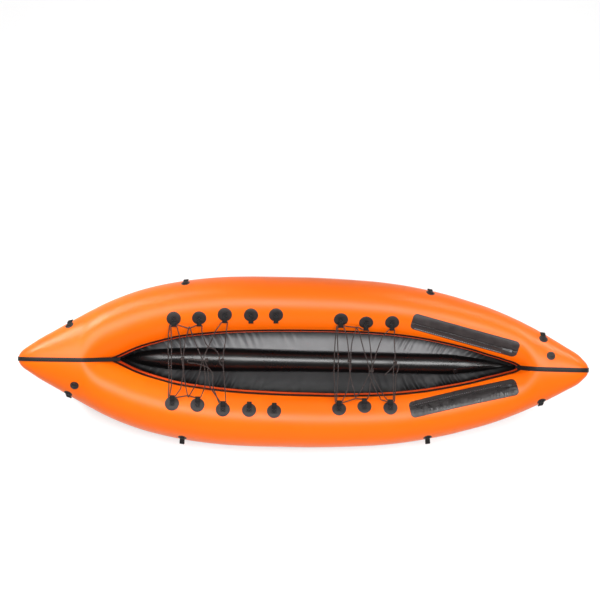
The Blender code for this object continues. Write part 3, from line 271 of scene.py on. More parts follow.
# Rows of teeth: the way in from the ridge's middle, and the share of the zip where the row starts
TOOTH_ROWS = ((-0.0011, 0.03), (0.0011, 0.03 + 0.0016 / 0.57))

# Light stitches along each flap's edge: their way in from the edge and their size
FLAP_STITCHES = {1: (0.0060, (0.0085, 0.0021, 0.0009)), -1: (0.0200, (0.0050, 0.0010, 0.0006))}
FLAP_STITCH_PITCH = 0.0110
FLAP_STITCH_HEIGHT = 0.0019

# Knots and the cord's braid
KNOT_RADIUS = 0.0064
KNOT_LENGTH = 0.0140
KNOT_TURNS = 3.0
KNOT_STEPS = 45
KNOT_SWELL = 0.25
BRAID_RATE = 2100.0
BRAID_STRANDS = 4

# Fabrics and mouldings: colour and its factor, roughness, scale and depth of the weave, scale and spread of
# the clouds, specular level, unevenness of the gloss, depth of the grain, and metallic
FABRICS = {
    "orange_tube": ("orange", 1.0, 0.38, 2600, 0.05, 3.2, 0.02, 0.32, 0.05, 0.05, 0.0),
    # Both cockpit panels are one satin cloth: port is painted lighter and glossier as painted light,
    # starboard darker as painted shade.
    "satin_liner_port": ("liner", 1.9, 0.40, 2600, 0.08, 14, 0.10, 0.55, 0.10, 0.12, 0.0),
    "satin_liner_starboard": ("liner", 0.50, 0.40, 2600, 0.08, 14, 0.10, 0.12, 0.10, 0.12, 0.0),
    "black_floor_tube": ("floor", 1.0, 0.28, 2400, 0.06, 7, 0.15, 0.60, 0.05, 0.06, 0.0),
    "black_floor_fabric": ("liner", 0.5, 0.55, 2200, 0.20, 9, 0.14, 0.40, 0.10, 0.10, 0.0),
    "black_tape": ("webbing", 0.7, 0.55, 2200, 0.25, 20, 0.15, 0.35, 0.10, 0.10, 0.0),
    "black_patch": ("patch", 1.0, 0.50, 3000, 0.22, 26, 0.16, 0.38, 0.10, 0.30, 0.0),
    "black_webbing": ("webbing", 1.0, 0.82, 620, 0.75, 60, 0.25, 0.30, 0.10, 0.35, 0.0),
    "thread": ("thread", 1.0, 0.70, 1500, 0.20, 5, 0.20, 0.50, 0.10, 0.10, 0.0),
    "black_plastic": ("webbing", 1.1, 0.38, 4000, 0.03, 40, 0.10, 0.50, 0.10, 0.12, 0.0),
    # Both zip flaps are one cloth: port is painted lighter as painted light, starboard darker as painted
    # shade.
    "zip_cloth_port": ("patch", 1.7, 0.40, 2600, 0.16, 30, 0.20, 0.45, 0.16, 0.20, 0.0),
    "zip_cloth_starboard": ("patch", 0.8, 0.32, 2600, 0.16, 30, 0.20, 0.45, 0.16, 0.20, 0.0),
    "zip_teeth": ("metal", 0.10, 0.70, 1500, 0.02, 5, 0.20, 0.15, 0.10, 0.10, 0.0),
    "grey_thread": ("grey", 1.0, 0.50, 1500, 0.30, 90, 0.30, 0.50, 0.10, 0.10, 0.0),
    "slider_metal": ("metal", 1.0, 0.42, 4000, 0.02, 80, 0.25, 0.40, 0.10, 0.15, 0.8),
}

# Second colours with their factors, for where a mesh's own attribute is high
BLENDS = {
    # The tubes' strip below the rim tape is painted redder: painted light and shade of the steep inner side.
    "orange_tube": ("inside", "inner", 1.0),
    # Painted shade on the cockpit panels near the rim, under the tubes' overhang, and towards both ends of
    # the cockpit.
    "satin_liner_port": ("near_rim", "liner", 0.304),
    "satin_liner_starboard": ("near_rim", "liner", 0.08),
}

# Lamps: name, place, target, size, watts, seen in gloss, and spread in degrees
LAMPS = (
    ("front", (0.2, 0.80, 5.2), (0, 0, 0), (5.0, 1.6), 275, True, 180),
    ("bow", (-2.75, 3.5, 2.4), (-1.2, 0.1, 0.25), (1.3, 0.9), 6.0, True, 26),
    ("stern", (2.75, 3.5, 2.4), (1.15, 0.1, 0.25), (1.3, 0.9), 3.0, True, 26),
    ("below", (0.0, -3.6, 3.2), (0, 0, 0.1), (6.0, 2.4), 105, False, 180),
)
CAMERA_PLACE = (-0.0282, 0.3295, 6.145)
CAMERA_TURN = math.radians(1.195)
FOCAL_PIXELS, PICTURE_PIXELS, SENSOR = 1132, 600, 36
WORLD_STRENGTH = 0.09

# The ground: radius of its flat part, radius and height of its upswept edge, and its glow by distance
GROUND_FLAT, GROUND_BEND, GROUND_HEIGHT, GROUND_SINK = 11.0, 2.5, 9.0, 0.0006
GROUND_GREY = 0.55
GLOW_LEVELS, GLOW_REACH = (0.50, 0.92), (2.5, 8.0)


def metres(name, value, description):
    return FloatProperty(name=name, description=description, default=value, unit="LENGTH")


def paint(name, value, description):
    return FloatVectorProperty(name=name, description=description, default=value, subtype="COLOR")


class PackraftSizes(bpy.types.PropertyGroup):
    """Sizes of the details that the frame leaves open."""

    wrinkle: metres("Liner wrinkle", 0.0130, "Depth of the folds in the cockpit's side panels")
    rim_width: metres("Rim tape width", 0.0205, "Width of the cockpit's tape")
    stitch: metres("Stitch pitch", 0.0030, "Distance from stitch to stitch")
    tooth: metres("Tooth pitch", 0.0032, "Distance from zip tooth to zip tooth")
    tube_rings: IntProperty(
        name="Tube rings", description="Rings along each side tube", default=210, min=40, max=600
    )


class PackraftColours(bpy.types.PropertyGroup):
    """Colours of the boat's fabrics and fittings."""

    orange: paint("Tube", (0.96, 0.150, 0.001), "Coated fabric of the side tubes")
    # The strip below the rim tape is the tube's own fabric, painted redder as painted light and shade on its
    # steep inner side.
    inner: paint("Tube inside", (1.0, 0.105, 0.010), "The tubes' strip below the rim tape")
    liner: paint("Liner", (0.075, 0.075, 0.078), "Satin cockpit panels")
    floor: paint("Floor tube", (0.0045, 0.0040, 0.0042), "Glossy floor chamber")
    patch: paint("Patch", (0.019, 0.0145, 0.0145), "Rubber-coated patches")
    webbing: paint("Webbing", (0.010, 0.0085, 0.0087), "Woven loops")
    cord: paint("Cord", (0.050, 0.038, 0.036), "Braided lacing")
    thread: paint("Thread", (0.05, 0.05, 0.055), "Stitching")
    grey: paint("Light thread", (0.34, 0.34, 0.35), "Stitching of the zip flaps")
    metal: paint("Slider", (0.075, 0.075, 0.080), "Zip sliders and teeth")


# Curves through the hull's lines

def monotone(places, values, x):
    """Values at x on a smooth curve that never overshoots its points."""
    step = np.diff(places)
    slope = np.diff(values) / step
    tangent = np.zeros(len(values))
    for k in range(1, len(values) - 1):
        if slope[k - 1] * slope[k] > 0:
            before, after = 2 * step[k] + step[k - 1], step[k] + 2 * step[k - 1]
            tangent[k] = (before + after) / (before / slope[k - 1] + after / slope[k])
    tangent[0], tangent[-1] = slope[0], slope[-1]
    k = np.clip(np.searchsorted(places, x) - 1, 0, len(step) - 1)
    t = (x - places[k]) / step[k]
    return (
        (1 + 2 * t) * (1 - t) ** 2 * values[k]
        + t * (1 - t) ** 2 * step[k] * tangent[k]
        + t**2 * (3 - 2 * t) * values[k + 1]
        + t**2 * (t - 1) * step[k] * tangent[k + 1]
    )


LINES = np.array(HULL_SHARES)
PLACES = np.linspace(-HALF_LENGTH, HALF_LENGTH, 6001)
CURVES = [monotone(LINES[:, 0] * HALF_LENGTH, LINES[:, column], PLACES) for column in range(1, 5)]


def tip_rise(x):
    reach = np.maximum(0.0, 1 - (HALF_LENGTH - np.abs(x)) / RISE_LENGTH)
    return TIP_RISE * reach**2


def hull_at(x):
    """Half width, axis offset, height of the half section, and the height of its centre, at x."""
    wide, axis, tall, centre = (np.interp(x, PLACES, curve) for curve in CURVES)
    return (
        wide * HALF_BEAM,
        axis * AXIS_OFFSET,
        tall * TUBE_RADIUS,
        DECK_LEVEL + centre * TUBE_RADIUS + tip_rise(x),
    )


def tube_points(x, angle, lift=0.0):
    """Points on the port tube, lifted off its skin. The angle is 0 outboard, a quarter turn on top."""
    wide, axis, tall, centre = hull_at(x)
    flank = wide - axis
    y = axis + (flank + lift) * np.cos(angle)
    z = centre + (tall + lift) * np.sin(angle)
    return np.stack(np.broadcast_arrays(x, np.maximum(y, CENTRE_GAP / 2), z), axis=-1)


def skin(x, angle):
    """A point on the port tube, its outward normal, and the tangent towards rising angles."""
    step = 0.0008
    point, fore, aft = (Vector(tube_points(x + d, angle)) for d in (0, -step, step))
    low, high = (Vector(tube_points(x, angle + d)) for d in (-step, step))
    around = (high - low).normalized()
    return point, around.cross(aft - fore).normalized(), around


def cockpit_end(way):
    """Where the tubes' rims meet over the boat's middle line, at the bow or the stern."""
    x = np.linspace(0, way * HALF_LENGTH, 900)
    return float(x[np.argmax(tube_points(x, RIM_ANGLE)[:, 1] <= RIM_MEETS)])


COCKPIT_ENDS = (cockpit_end(-1), cockpit_end(1))


def floor_tube_section(x):
    """Half width, half height and centre height of the floor tube."""
    start, end = FLOOR_TUBE_ENDS
    places, swells = np.array(FLOOR_TUBE_SHARES).T
    swell = monotone(places, swells, np.clip((x - start) / (end - start), 0, 1))
    tall = swell * FLOOR_TUBE_HEIGHT / 2
    return swell * FLOOR_TUBE_WIDTH / 2, tall, DECK_LEVEL + tip_rise(x) + tall


# Mesh helpers

def new_piece(name, bm, material, angle=35):
    """A finished mesh piece at the origin, smooth up to the given angle."""
    mesh = bpy.data.meshes.new(name)
    bm.to_mesh(mesh)
    bm.free()
    mesh.shade_smooth()
    mesh.set_sharp_from_angle(angle=math.radians(angle))
    mesh.materials.append(material)
    piece = bpy.data.objects.new(name, mesh)
    bpy.context.scene.collection.objects.link(piece)
    return piece


def grid(bm, rows, across=False, along=None, scale=(1.0, 1.0)):
    """Faces through rows of points, with UVs that count rows or the places along, and columns across."""
    layer = bm.loops.layers.uv.get("UVMap") or bm.loops.layers.uv.new("UVMap")
    corners = [[bm.verts.new(point) for point in row] for row in rows]
    along = along or range(len(corners))
    count = len(corners[0])
    for i, (near, far) in enumerate(zip(corners, corners[1:])):
        for j in range(count if across else count - 1):
            k = (j + 1) % count
            face = bm.faces.new((near[j], near[k], far[k], far[j]))
            places = ((i, j), (i, j + 1), (i + 1, j + 1), (i + 1, j))
            for loop, (u, v) in zip(face.loops, places):
                loop[layer].uv = (along[u] * scale[0], v * scale[1])
    return corners


def closed_tube(bm, rings, **layout):
    """Faces through rings of points, with a fan over each end."""
    corners = grid(bm, rings, across=True, **layout)
    for ring in (corners[0], corners[-1]):
        hub = bm.verts.new(sum((corner.co for corner in ring), Vector()) / len(ring))
        for near, far in zip(ring, ring[1:] + ring[:1]):
            bm.faces.new((near, far, hub))
    return corners


def outward(bm):
    bmesh.ops.remove_doubles(bm, verts=bm.verts, dist=SAME_POINT)
    bmesh.ops.recalc_face_normals(bm, faces=bm.faces)


def upward(bm):
    bmesh.ops.recalc_face_normals(bm, faces=bm.faces)
    if sum(face.normal.z for face in bm.faces) < 0:
        bmesh.ops.reverse_faces(bm, faces=bm.faces)


def mirrored(points, side):
    return [Vector((p[0], p[1] * side, p[2])) for p in points]


def frame_matrix(origin, x_axis, y_axis):
    x_axis = x_axis.normalized()
    z_axis = x_axis.cross(y_axis).normalized()
    matrix = Matrix((x_axis, z_axis.cross(x_axis), z_axis)).transposed().to_4x4()
    matrix.translation = origin
    return matrix


def axis_matrix(origin, z_axis, x_hint):
    z_axis = z_axis.normalized()
    y_axis = z_axis.cross(x_hint).normalized()
    return frame_matrix(origin, y_axis.cross(z_axis), y_axis)


def arc(centre, radius, start, end, steps):
    turns = np.linspace(start, end, steps + 1)
    return [(centre[0] + radius * math.cos(t), centre[1] + radius * math.sin(t)) for t in turns]


def rounded(width, height, radius, steps=3):
    """The corners of a rounded rectangle about the origin, turning left."""
    points = []
    for k, (sx, sy) in enumerate(((1, 1), (-1, 1), (-1, -1), (1, -1))):
        middle = (sx * (width / 2 - radius), sy * (height / 2 - radius))
        points += arc(middle, radius, k * math.pi / 2, (k + 1) * math.pi / 2, steps)
    return points


def path_length(path):
    return sum((b - a).length for a, b in zip(path, path[1:]))


def headings(path):
    """The way along the path at each of its points."""
    last = len(path) - 1
    return [(path[min(i + 1, last)] - path[max(i - 1, 0)]).normalized() for i in range(last + 1)]


def sweep(bm, path, ups, section):
    """Carries a flat section along a path, its second axis towards the ups, and closes both ends."""
    rings = []
    for point, along, up in zip(path, headings(path), ups):
        side = up.cross(along).normalized()
        high = along.cross(side)
        rings.append([point + side * a + high * b for a, b in section])
    closed_tube(bm, rings, scale=(path_length(path) / (len(path) - 1), 1.0 / len(section)))


def ring_points(radius, height, segments):
    turns = [2 * math.pi * i / segments for i in range(segments)]
    return [Vector((radius * math.cos(t), radius * math.sin(t), height)) for t in turns]


def turned(bm, outline, matrix, segments=48):
    """A profile of radius and height pairs, turned about the matrix's Z axis."""
    rings = [[matrix @ point for point in ring_points(*pair, segments)] for pair in outline]
    grid(bm, rings, across=True)
    bmesh.ops.remove_doubles(bm, verts=bm.verts, dist=SAME_POINT)


def soft_noise(x, y, seed, waves=7):
    """A smooth bumpy field from a few waves, the same each run."""
    random = np.random.default_rng(seed)
    total = 0.0
    for _ in range(waves):
        turn = random.uniform(0, 2 * math.pi)
        rate = random.uniform(0.5, 1.6)
        total = total + np.sin((x * math.cos(turn) + y * math.sin(turn)) * rate + random.uniform(0, 6.3))
    return total / waves


# Materials

def feed(tree, node, inputs):
    """Links or sets a node's inputs by name or number. None leaves an input as it is."""
    for name, value in inputs.items():
        if isinstance(value, bpy.types.NodeSocket):
            tree.links.new(value, node.inputs[name])
        elif value is not None:
            node.inputs[name].default_value = value
    return node


def add_node(tree, kind, inputs, **settings):
    node = tree.nodes.new(kind)
    for name, value in settings.items():
        setattr(node, name, value)
    return feed(tree, node, inputs)


def coordinates(tree, name):
    return add_node(tree, "ShaderNodeTexCoord", {}).outputs[name]


def math_node(tree, operation, a, b=None):
    return add_node(tree, "ShaderNodeMath", {0: a, 1: b}, operation=operation).outputs[0]


def ranged(tree, source, low, high, from_low=0.0, from_high=1.0):
    inputs = {"Value": source, "From Min": from_low, "From Max": from_high, "To Min": low, "To Max": high}
    return add_node(tree, "ShaderNodeMapRange", inputs).outputs["Result"]


def mixed(tree, factor, first, second):
    inputs = {"Factor": factor, "A": first, "B": second}
    return add_node(tree, "ShaderNodeMix", inputs, data_type="RGBA").outputs["Result"]


def bump(tree, height, strength, distance, normal=None):
    inputs = {"Height": height, "Strength": strength, "Distance": distance, "Normal": normal}
    return add_node(tree, "ShaderNodeBump", inputs).outputs["Normal"]


def new_group(name, kind, inputs, outputs):
    """A node group with its sockets, given by name, type and value, and its two end nodes."""
    tree = bpy.data.node_groups.new(name, kind)
    for way, sockets in (("INPUT", inputs), ("OUTPUT", outputs)):
        for title, data, *value in sockets:
            socket = tree.interface.new_socket(title, in_out=way, socket_type=f"NodeSocket{data}")
            if value:
                socket.default_value = value[0]
    return tree, tree.nodes.new("NodeGroupInput"), tree.nodes.new("NodeGroupOutput")


def make_weave():
    """Crossing threads, as a height."""
    inputs = (("Vector", "Vector", (0, 0, 0)), ("Scale", "Float", 900.0))
    tree, inside, outside = new_group("Weave", "ShaderNodeTree", inputs, (("Height", "Float"),))
    split = add_node(tree, "ShaderNodeSeparateXYZ", {0: inside.outputs["Vector"]})
    waves = []
    for axis in (0, 1):
        scaled = math_node(tree, "MULTIPLY", split.outputs[axis], inside.outputs["Scale"])
        waves.append(math_node(tree, "SINE", scaled))
    product = math_node(tree, "MULTIPLY", *waves)
    height = math_node(tree, "ADD", math_node(tree, "MULTIPLY", product, 0.5), 0.5)
    feed(tree, outside, {"Height": height})
    return tree


def make_grain():
    """Uneven cloudiness at two scales, for colour, roughness and a soft bump."""
    inputs = (("Vector", "Vector", (0, 0, 0)), ("Broad", "Float", 4.0), ("Fine", "Float", 300.0))
    outputs = (("Broad", "Float"), ("Fine", "Float"))
    tree, inside, outside = new_group("Grain", "ShaderNodeTree", inputs, outputs)
    for name, detail in (("Broad", 3.0), ("Fine", 2.0)):
        wanted = {"Detail": detail, "Vector": inside.outputs["Vector"], "Scale": inside.outputs[name]}
        noise = add_node(tree, "ShaderNodeTexNoise", wanted)
        feed(tree, outside, {name: noise.outputs["Fac"]})
    return tree


def make_row():
    """Sets a small box on lines at an even pitch, its X along the line and its Z towards a given way."""
    tree, inside, outside = new_group(
        "Parts along lines",
        "GeometryNodeTree",
        (
            ("Geometry", "Geometry"),
            ("Pitch", "Float", 0.003),
            ("Size", "Vector", (0.002, 0.001, 0.001)),
            ("Upward", "Vector", (0, 0, 1)),
            ("Material", "Material"),
        ),
        (("Geometry", "Geometry"),),
    )

    def step(kind, inputs, output, **settings):
        return add_node(tree, kind, inputs, **settings).outputs[output]

    given = inside.outputs
    align = "FunctionNodeAlignRotationToVector"
    line = step("GeometryNodeMeshToCurve", {"Mesh": given["Geometry"]}, "Curve")
    spaced = {"Curve": line, "Length": given["Pitch"]}
    line = step("GeometryNodeResampleCurve", spaced, "Curve", mode="LENGTH")
    box = step("GeometryNodeMeshCube", {"Size": given["Size"]}, "Mesh")
    turn = step(align, {"Vector": given["Upward"]}, "Rotation", axis="Z")
    tangent = step("GeometryNodeInputTangent", {}, "Tangent")
    turn = step(align, {"Rotation": turn, "Vector": tangent}, "Rotation", axis="X", pivot_axis="Z")
    placed = {"Points": line, "Instance": box, "Rotation": turn}
    boxes = step("GeometryNodeInstanceOnPoints", placed, "Instances")
    boxes = step("GeometryNodeRealizeInstances", {"Geometry": boxes}, "Geometry")
    painted = {"Geometry": boxes, "Material": given["Material"]}
    feed(tree, outside, {"Geometry": step("GeometryNodeSetMaterial", painted, "Geometry")})
    return tree


GROUPS = {"Weave": make_weave, "Grain": make_grain, "Parts along lines": make_row}


def node_group(name):
    """A node group by its name, made when it is first needed."""
    return bpy.data.node_groups.get(name) or GROUPS[name]()


def shaded(name, factor):
    """One of the boat's colours, lighter or darker."""
    value = getattr(bpy.context.scene.packraft_colours, name)
    return (*(min(1.0, channel * factor) for channel in value), 1.0)


def new_material(name):
    material = bpy.data.materials.new(name)
    material.use_nodes = True
    return material, material.node_tree, material.node_tree.nodes["Principled BSDF"]


def fabric(name):
    """Coated cloth, rubber, strap or moulding: cloudy colour and gloss, a fine weave and a soft grain."""
    found = bpy.data.materials.get(name)
    if found:
        return found
    tint, factor, rough, scale, weave, broad, spread, specular, uneven, soft, metallic = FABRICS[name]
    material, tree, shader = new_material(name)
    place = coordinates(tree, "Object")
    wanted = {"Vector": place, "Broad": broad, "Fine": scale / 4}
    grain = add_node(tree, "ShaderNodeGroup", wanted, node_tree=node_group("Grain"))
    wanted = {"Vector": place, "Scale": scale}
    threads = add_node(tree, "ShaderNodeGroup", wanted, node_tree=node_group("Weave"))
    cloud = ranged(tree, grain.outputs["Broad"], 0.0, 1.0, 0.3, 0.7)
    base = mixed(tree, cloud, shaded(tint, factor * (1 - spread)), shaded(tint, factor * (1 + spread)))
    # Where a mesh's attribute is high, blend to a second colour: painted light and shade on the tubes' strip,
    # painted shade on the cockpit panels.
    if name in BLENDS:
        attribute, second, share = BLENDS[name]
        mask = add_node(tree, "ShaderNodeAttribute", {}, attribute_name=attribute)
        base = mixed(tree, mask.outputs["Fac"], base, shaded(second, share))
    gloss = ranged(tree, grain.outputs["Broad"], rough - uneven / 2, rough + uneven / 2, 0.3, 0.7)
    normal = bump(tree, threads.outputs["Height"], weave, 0.0004)
    normal = bump(tree, grain.outputs["Fine"], soft, 0.0003, normal)
    feed(tree, shader, {"Base Color": base, "Roughness": gloss, "Normal": normal})
    feed(tree, shader, {"Specular IOR Level": specular, "Metallic": metallic})
    return material


def cord_material():
    """Braid on the cord's own UV map, where U runs along it in metres."""
    found = bpy.data.materials.get("dark_cord")
    if found:
        return found
    material, tree, shader = new_material("dark_cord")
    split = add_node(tree, "ShaderNodeSeparateXYZ", {0: coordinates(tree, "UV")})
    waves = []
    for way in (1, -1):
        along = math_node(tree, "MULTIPLY", split.outputs[0], BRAID_RATE)
        turn = math_node(tree, "MULTIPLY", split.outputs[1], way * 2 * math.pi * BRAID_STRANDS)
        waves.append(math_node(tree, "SINE", math_node(tree, "ADD", along, turn)))
    height = math_node(tree, "MAXIMUM", *waves)
    # The braid's grooves are painted darker and its crowns lighter: painted shade and painted highlight.
    base = mixed(tree, ranged(tree, height, 0.0, 1.0), shaded("cord", 0.45), shaded("cord", 1.3))
    feed(tree, shader, {"Base Color": base, "Normal": bump(tree, height, 0.7, 0.0003)})
    feed(tree, shader, {"Roughness": 0.7, "Specular IOR Level": 0.35})
    return material


# Rows of like parts, made with geometry nodes

def row_mesh(lines, pitch, size, way_up, material):
    """The mesh of a row of small boxes along lines."""
    mesh = bpy.data.meshes.new("row")
    points, edges = [], []
    for line in lines:
        edges += [(len(points) + i, len(points) + i + 1) for i in range(len(line) - 1)]
        points += [tuple(point) for point in line]
    mesh.from_pydata(points, edges, [])
    holder = bpy.data.objects.new("row", mesh)
    bpy.context.scene.collection.objects.link(holder)
    modifier = holder.modifiers.new("Row", "NODES")
    modifier.node_group = node_group("Parts along lines")
    values = {"Pitch": pitch, "Size": size, "Upward": tuple(way_up), "Material": material}
    for item in modifier.node_group.interface.items_tree:
        if item.in_out == "INPUT" and item.name in values:
            modifier[item.identifier] = values[item.name]
    bpy.context.view_layer.update()
    graph = bpy.context.evaluated_depsgraph_get()
    result = bpy.data.meshes.new_from_object(holder.evaluated_get(graph))
    bpy.data.objects.remove(holder, do_unlink=True)
    return result


def row_piece(name, groups, material):
    """One piece from several rows, each with its own lines, pitch, size and way up."""
    bm = bmesh.new()
    for group in groups:
        bm.from_mesh(row_mesh(*group, material))
    return new_piece(name, bm, material)


def dress(piece, body, *nodes):
    """The piece rides on its body and stands for the frame's nodes."""
    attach(piece, body)
    if nodes:
        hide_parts(*nodes)


def add_to(piece):
    """The piece rides on the hull beside the frame's node, which it doesn't stand for."""
    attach(piece, "hull")


# Hull

def side_tube(side):
    count = bpy.context.scene.packraft_sizes.tube_rings
    t = np.linspace(-1, 1, count)
    x = np.sign(t) * (1 - (1 - np.abs(t)) ** TIP_CROWDING) * HALF_LENGTH * TIP_SHARE
    angles = np.radians(np.arange(0, 360, TUBE_STEP_DEGREES))
    points = tube_points(x[:, None], angles[None, :])
    bm = bmesh.new()
    # Mask for the strip below the rim tape, which is painted redder: painted light and shade
    strip = bm.verts.layers.float.new("inside")
    for row in closed_tube(bm, [mirrored(row, side) for row in points]):
        for corner, angle in zip(row, np.degrees(angles)):
            corner[strip] = float(np.clip((angle - STRIP_START) / STRIP_FADE, 0, 1) * (angle < STRIP_END))
    bmesh.ops.recalc_face_normals(bm, faces=bm.faces)
    piece = new_piece(f"air_chamber_{SIDES[side]}", bm, fabric("orange_tube"), angle=50)
    dress(piece, "hull", f"side_tube_{SIDES[side]}")


# Floor tube: rings and corners a ring, the gap at its ends, and its puckers' depth, reach and fade in metres,
# their number round it and their twist along it
FLOOR_RINGS, FLOOR_CORNERS, FLOOR_END_GAP = 190, 64, 0.0004
PUCKER_DEPTH, PUCKER_REACH, PUCKER_FADE = 0.0011, 0.22, 0.05
PUCKERS_ROUND, PUCKER_TWIST, LEAST_WIDTH = 9, 26, 0.01


def make_floor_tube():
    """The floor tube, with light puckers near both ends."""
    start, end = FLOOR_TUBE_ENDS
    t = np.linspace(0, 1, FLOOR_RINGS)
    x = start + (end - start) * (0.5 - 0.5 * np.cos(math.pi * t))
    x[0], x[-1] = start + FLOOR_END_GAP, end - FLOOR_END_GAP
    wide, tall, centre = (values[:, None] for values in floor_tube_section(x))
    angles = np.linspace(0, 2 * math.pi, FLOOR_CORNERS, endpoint=False)
    reach = np.minimum(x - start, end - x)[:, None]
    pucker = PUCKER_DEPTH * np.exp(-reach / PUCKER_REACH) * np.clip(reach / PUCKER_FADE, 0, 1)
    waves = np.sin(angles * PUCKERS_ROUND + x[:, None] * PUCKER_TWIST)
    ripple = 1 + pucker / np.maximum(wide, LEAST_WIDTH) * waves
    y = wide * np.cos(angles) * ripple
    z = centre + tall * np.sin(angles) * ripple
    bm = bmesh.new()
    closed_tube(bm, np.stack(np.broadcast_arrays(x[:, None], y, z), axis=-1))
    bmesh.ops.recalc_face_normals(bm, faces=bm.faces)
    dress(new_piece("floor_chamber", bm, fabric("black_floor_tube")), "hull", "floor_tube")


def cloth_piece(name, bm, material, thickness, offset):
    """A sheet of cloth with its outer side up, and its area."""
    upward(bm)
    piece = new_piece(name, bm, material, angle=80)
    wall = piece.modifiers.new("Cloth", "SOLIDIFY")
    wall.thickness = thickness
    wall.offset = offset
    return piece, sum(polygon.area for polygon in piece.data.polygons)


# Folds of the cockpit panels: half the calm middle and the growth beyond it, and on each side their pitch
# astern and forward and their slant
CALM_HALF, FOLD_GROWTH, FULL_FOLD_PITCH = 0.26, 0.42, 0.045
FOLD_PITCHES = {1: (0.031, 0.044), -1: (0.048, 0.048)}
FOLD_SLANTS = {1: 0.100, -1: 0.085}


def fold(x, share, side):
    """How far the cockpit's side panels stand proud in folds: strongest towards both ends."""
    end = np.clip((np.abs(x - sum(COCKPIT_ENDS) / 2) - CALM_HALF) / FOLD_GROWTH, 0, 1)
    pitch = np.where(x > 0, *FOLD_PITCHES[side])
    phase = (np.abs(x) + FOLD_SLANTS[side] * share) * 2 * math.pi / pitch + 1.1 * np.sin(x * 17 + side)
    pleats = (0.7 - 1.4 * np.abs(np.sin(phase / 2)) + 0.3 * np.sin(phase)) * (0.06 + 0.94 * end)
    crumple = soft_noise(x * 90, share * 9 + side * 3, 5) * 0.45 + soft_noise(x * 240, share * 20, 9) * 0.16
    level = np.sin(math.pi * np.clip(share, 0, 1)) ** 0.6
    size = bpy.context.scene.packraft_sizes.wrinkle * np.minimum(1.0, pitch / FULL_FOLD_PITCH)
    return size * level * (pleats * (0.55 + 0.45 * np.sin(x * 31 + 4 * side)) + crumple * (0.2 + 0.5 * end))


# Cockpit panels: columns along the boat, the tube's degrees that they hug and the rows there, the rows that
# hang, the landing as shares of the floor tube's half width and height, and the bow of the hanging part
LINER_COLUMNS, LINER_HUG, LINER_HUG_ROWS, LINER_HANG_ROWS = 560, (182, 212), 9, 34
LANDING_WIDTH, LANDING_HEIGHT, LINER_BOW, LINER_SIDEWAYS = 0.93, 0.62, 0.45, 0.4
# SHADE_DEPTH: how far in from the rim the painted shade reaches, as a share of the panel's visible width.
LINER_KEEP_OFF, LINER_LOWEST, LANDING_LOWEST, SHADE_DEPTH = 0.0004, 0.003, 0.012, 0.42


def liner(side):
    """The satin panel from the tube's inner side down to the floor tube, darkened near the rim and at both
    ends by painted shade.
    """
    fore, aft = COCKPIT_ENDS
    x = np.linspace(fore + LINER_END_GAP, aft - LINER_END_GAP, LINER_COLUMNS)
    hug = np.radians(np.linspace(*LINER_HUG, LINER_HUG_ROWS))
    top = tube_points(x[:, None], hug[None, :], lift=LINER_LIFT)
    wide, _, centre = floor_tube_section(x)
    landing_y = np.maximum(wide * LANDING_WIDTH, 0.0006)
    landing_z = np.maximum(centre * LANDING_HEIGHT, LANDING_LOWEST + tip_rise(x))
    landing = np.stack([x, landing_y, landing_z], axis=-1)
    last, before = top[:, -1], top[:, -2]
    way = (last - before) / np.linalg.norm(last - before, axis=1)[:, None]
    bend = last + way * np.linalg.norm(landing - last, axis=1)[:, None] * LINER_BOW
    shares = np.linspace(0, 1, LINER_HANG_ROWS)[1:]
    t = shares[:, None]
    hang = (1 - t) ** 2 * last[:, None] + 2 * t * (1 - t) * bend[:, None] + t**2 * landing[:, None]
    proud = fold(x[:, None], shares, side)
    hang[..., 1] = np.maximum(hang[..., 1] + LINER_SIDEWAYS * proud, LINER_KEEP_OFF)
    hang[..., 2] = np.maximum(hang[..., 2] + proud, LINER_LOWEST)
    bm = bmesh.new()
    # Painted shade: a mask that darkens the panel near the rim, under the tube's overhang, and towards both
    # ends of the cockpit.
    shade = bm.verts.layers.float.new("near_rim")
    rows = [mirrored(row, side) for row in np.concatenate([top, hang], axis=1)]
    inner = tube_points(x, math.pi)[:, 1]
    far = np.interp(x, LINER_FADES[side], (1, 0, 0, 1))
    for i, row in enumerate(grid(bm, rows, scale=(0.006, 0.006))):
        for corner in row:
            depth = (inner[i] - abs(corner.co.y)) / max(inner[i] - wide[i], LEAST_WIDTH)
            corner[shade] = float(max(far[i], np.clip(1 - depth / SHADE_DEPTH, 0, 1)))
    name = SIDES[side]
    # Each side takes its own copy of the satin, painted lighter on port and darker on starboard.
    piece, area = cloth_piece(f"liner_{name}", bm, fabric(f"satin_liner_{name}"), LINER_THICKNESS, -1)
    add_to(piece)


# The outer floor: its ends as shares of the half length, columns and rows, gap below the tubes, and bumps
FLOOR_CLOTH_ENDS, FLOOR_CLOTH_COLUMNS, FLOOR_CLOTH_ROWS = (-0.7860, 0.8366), 260, 41
FLOOR_CLOTH_GAP, FLOOR_CLOTH_BUMPS = 0.0014, 26


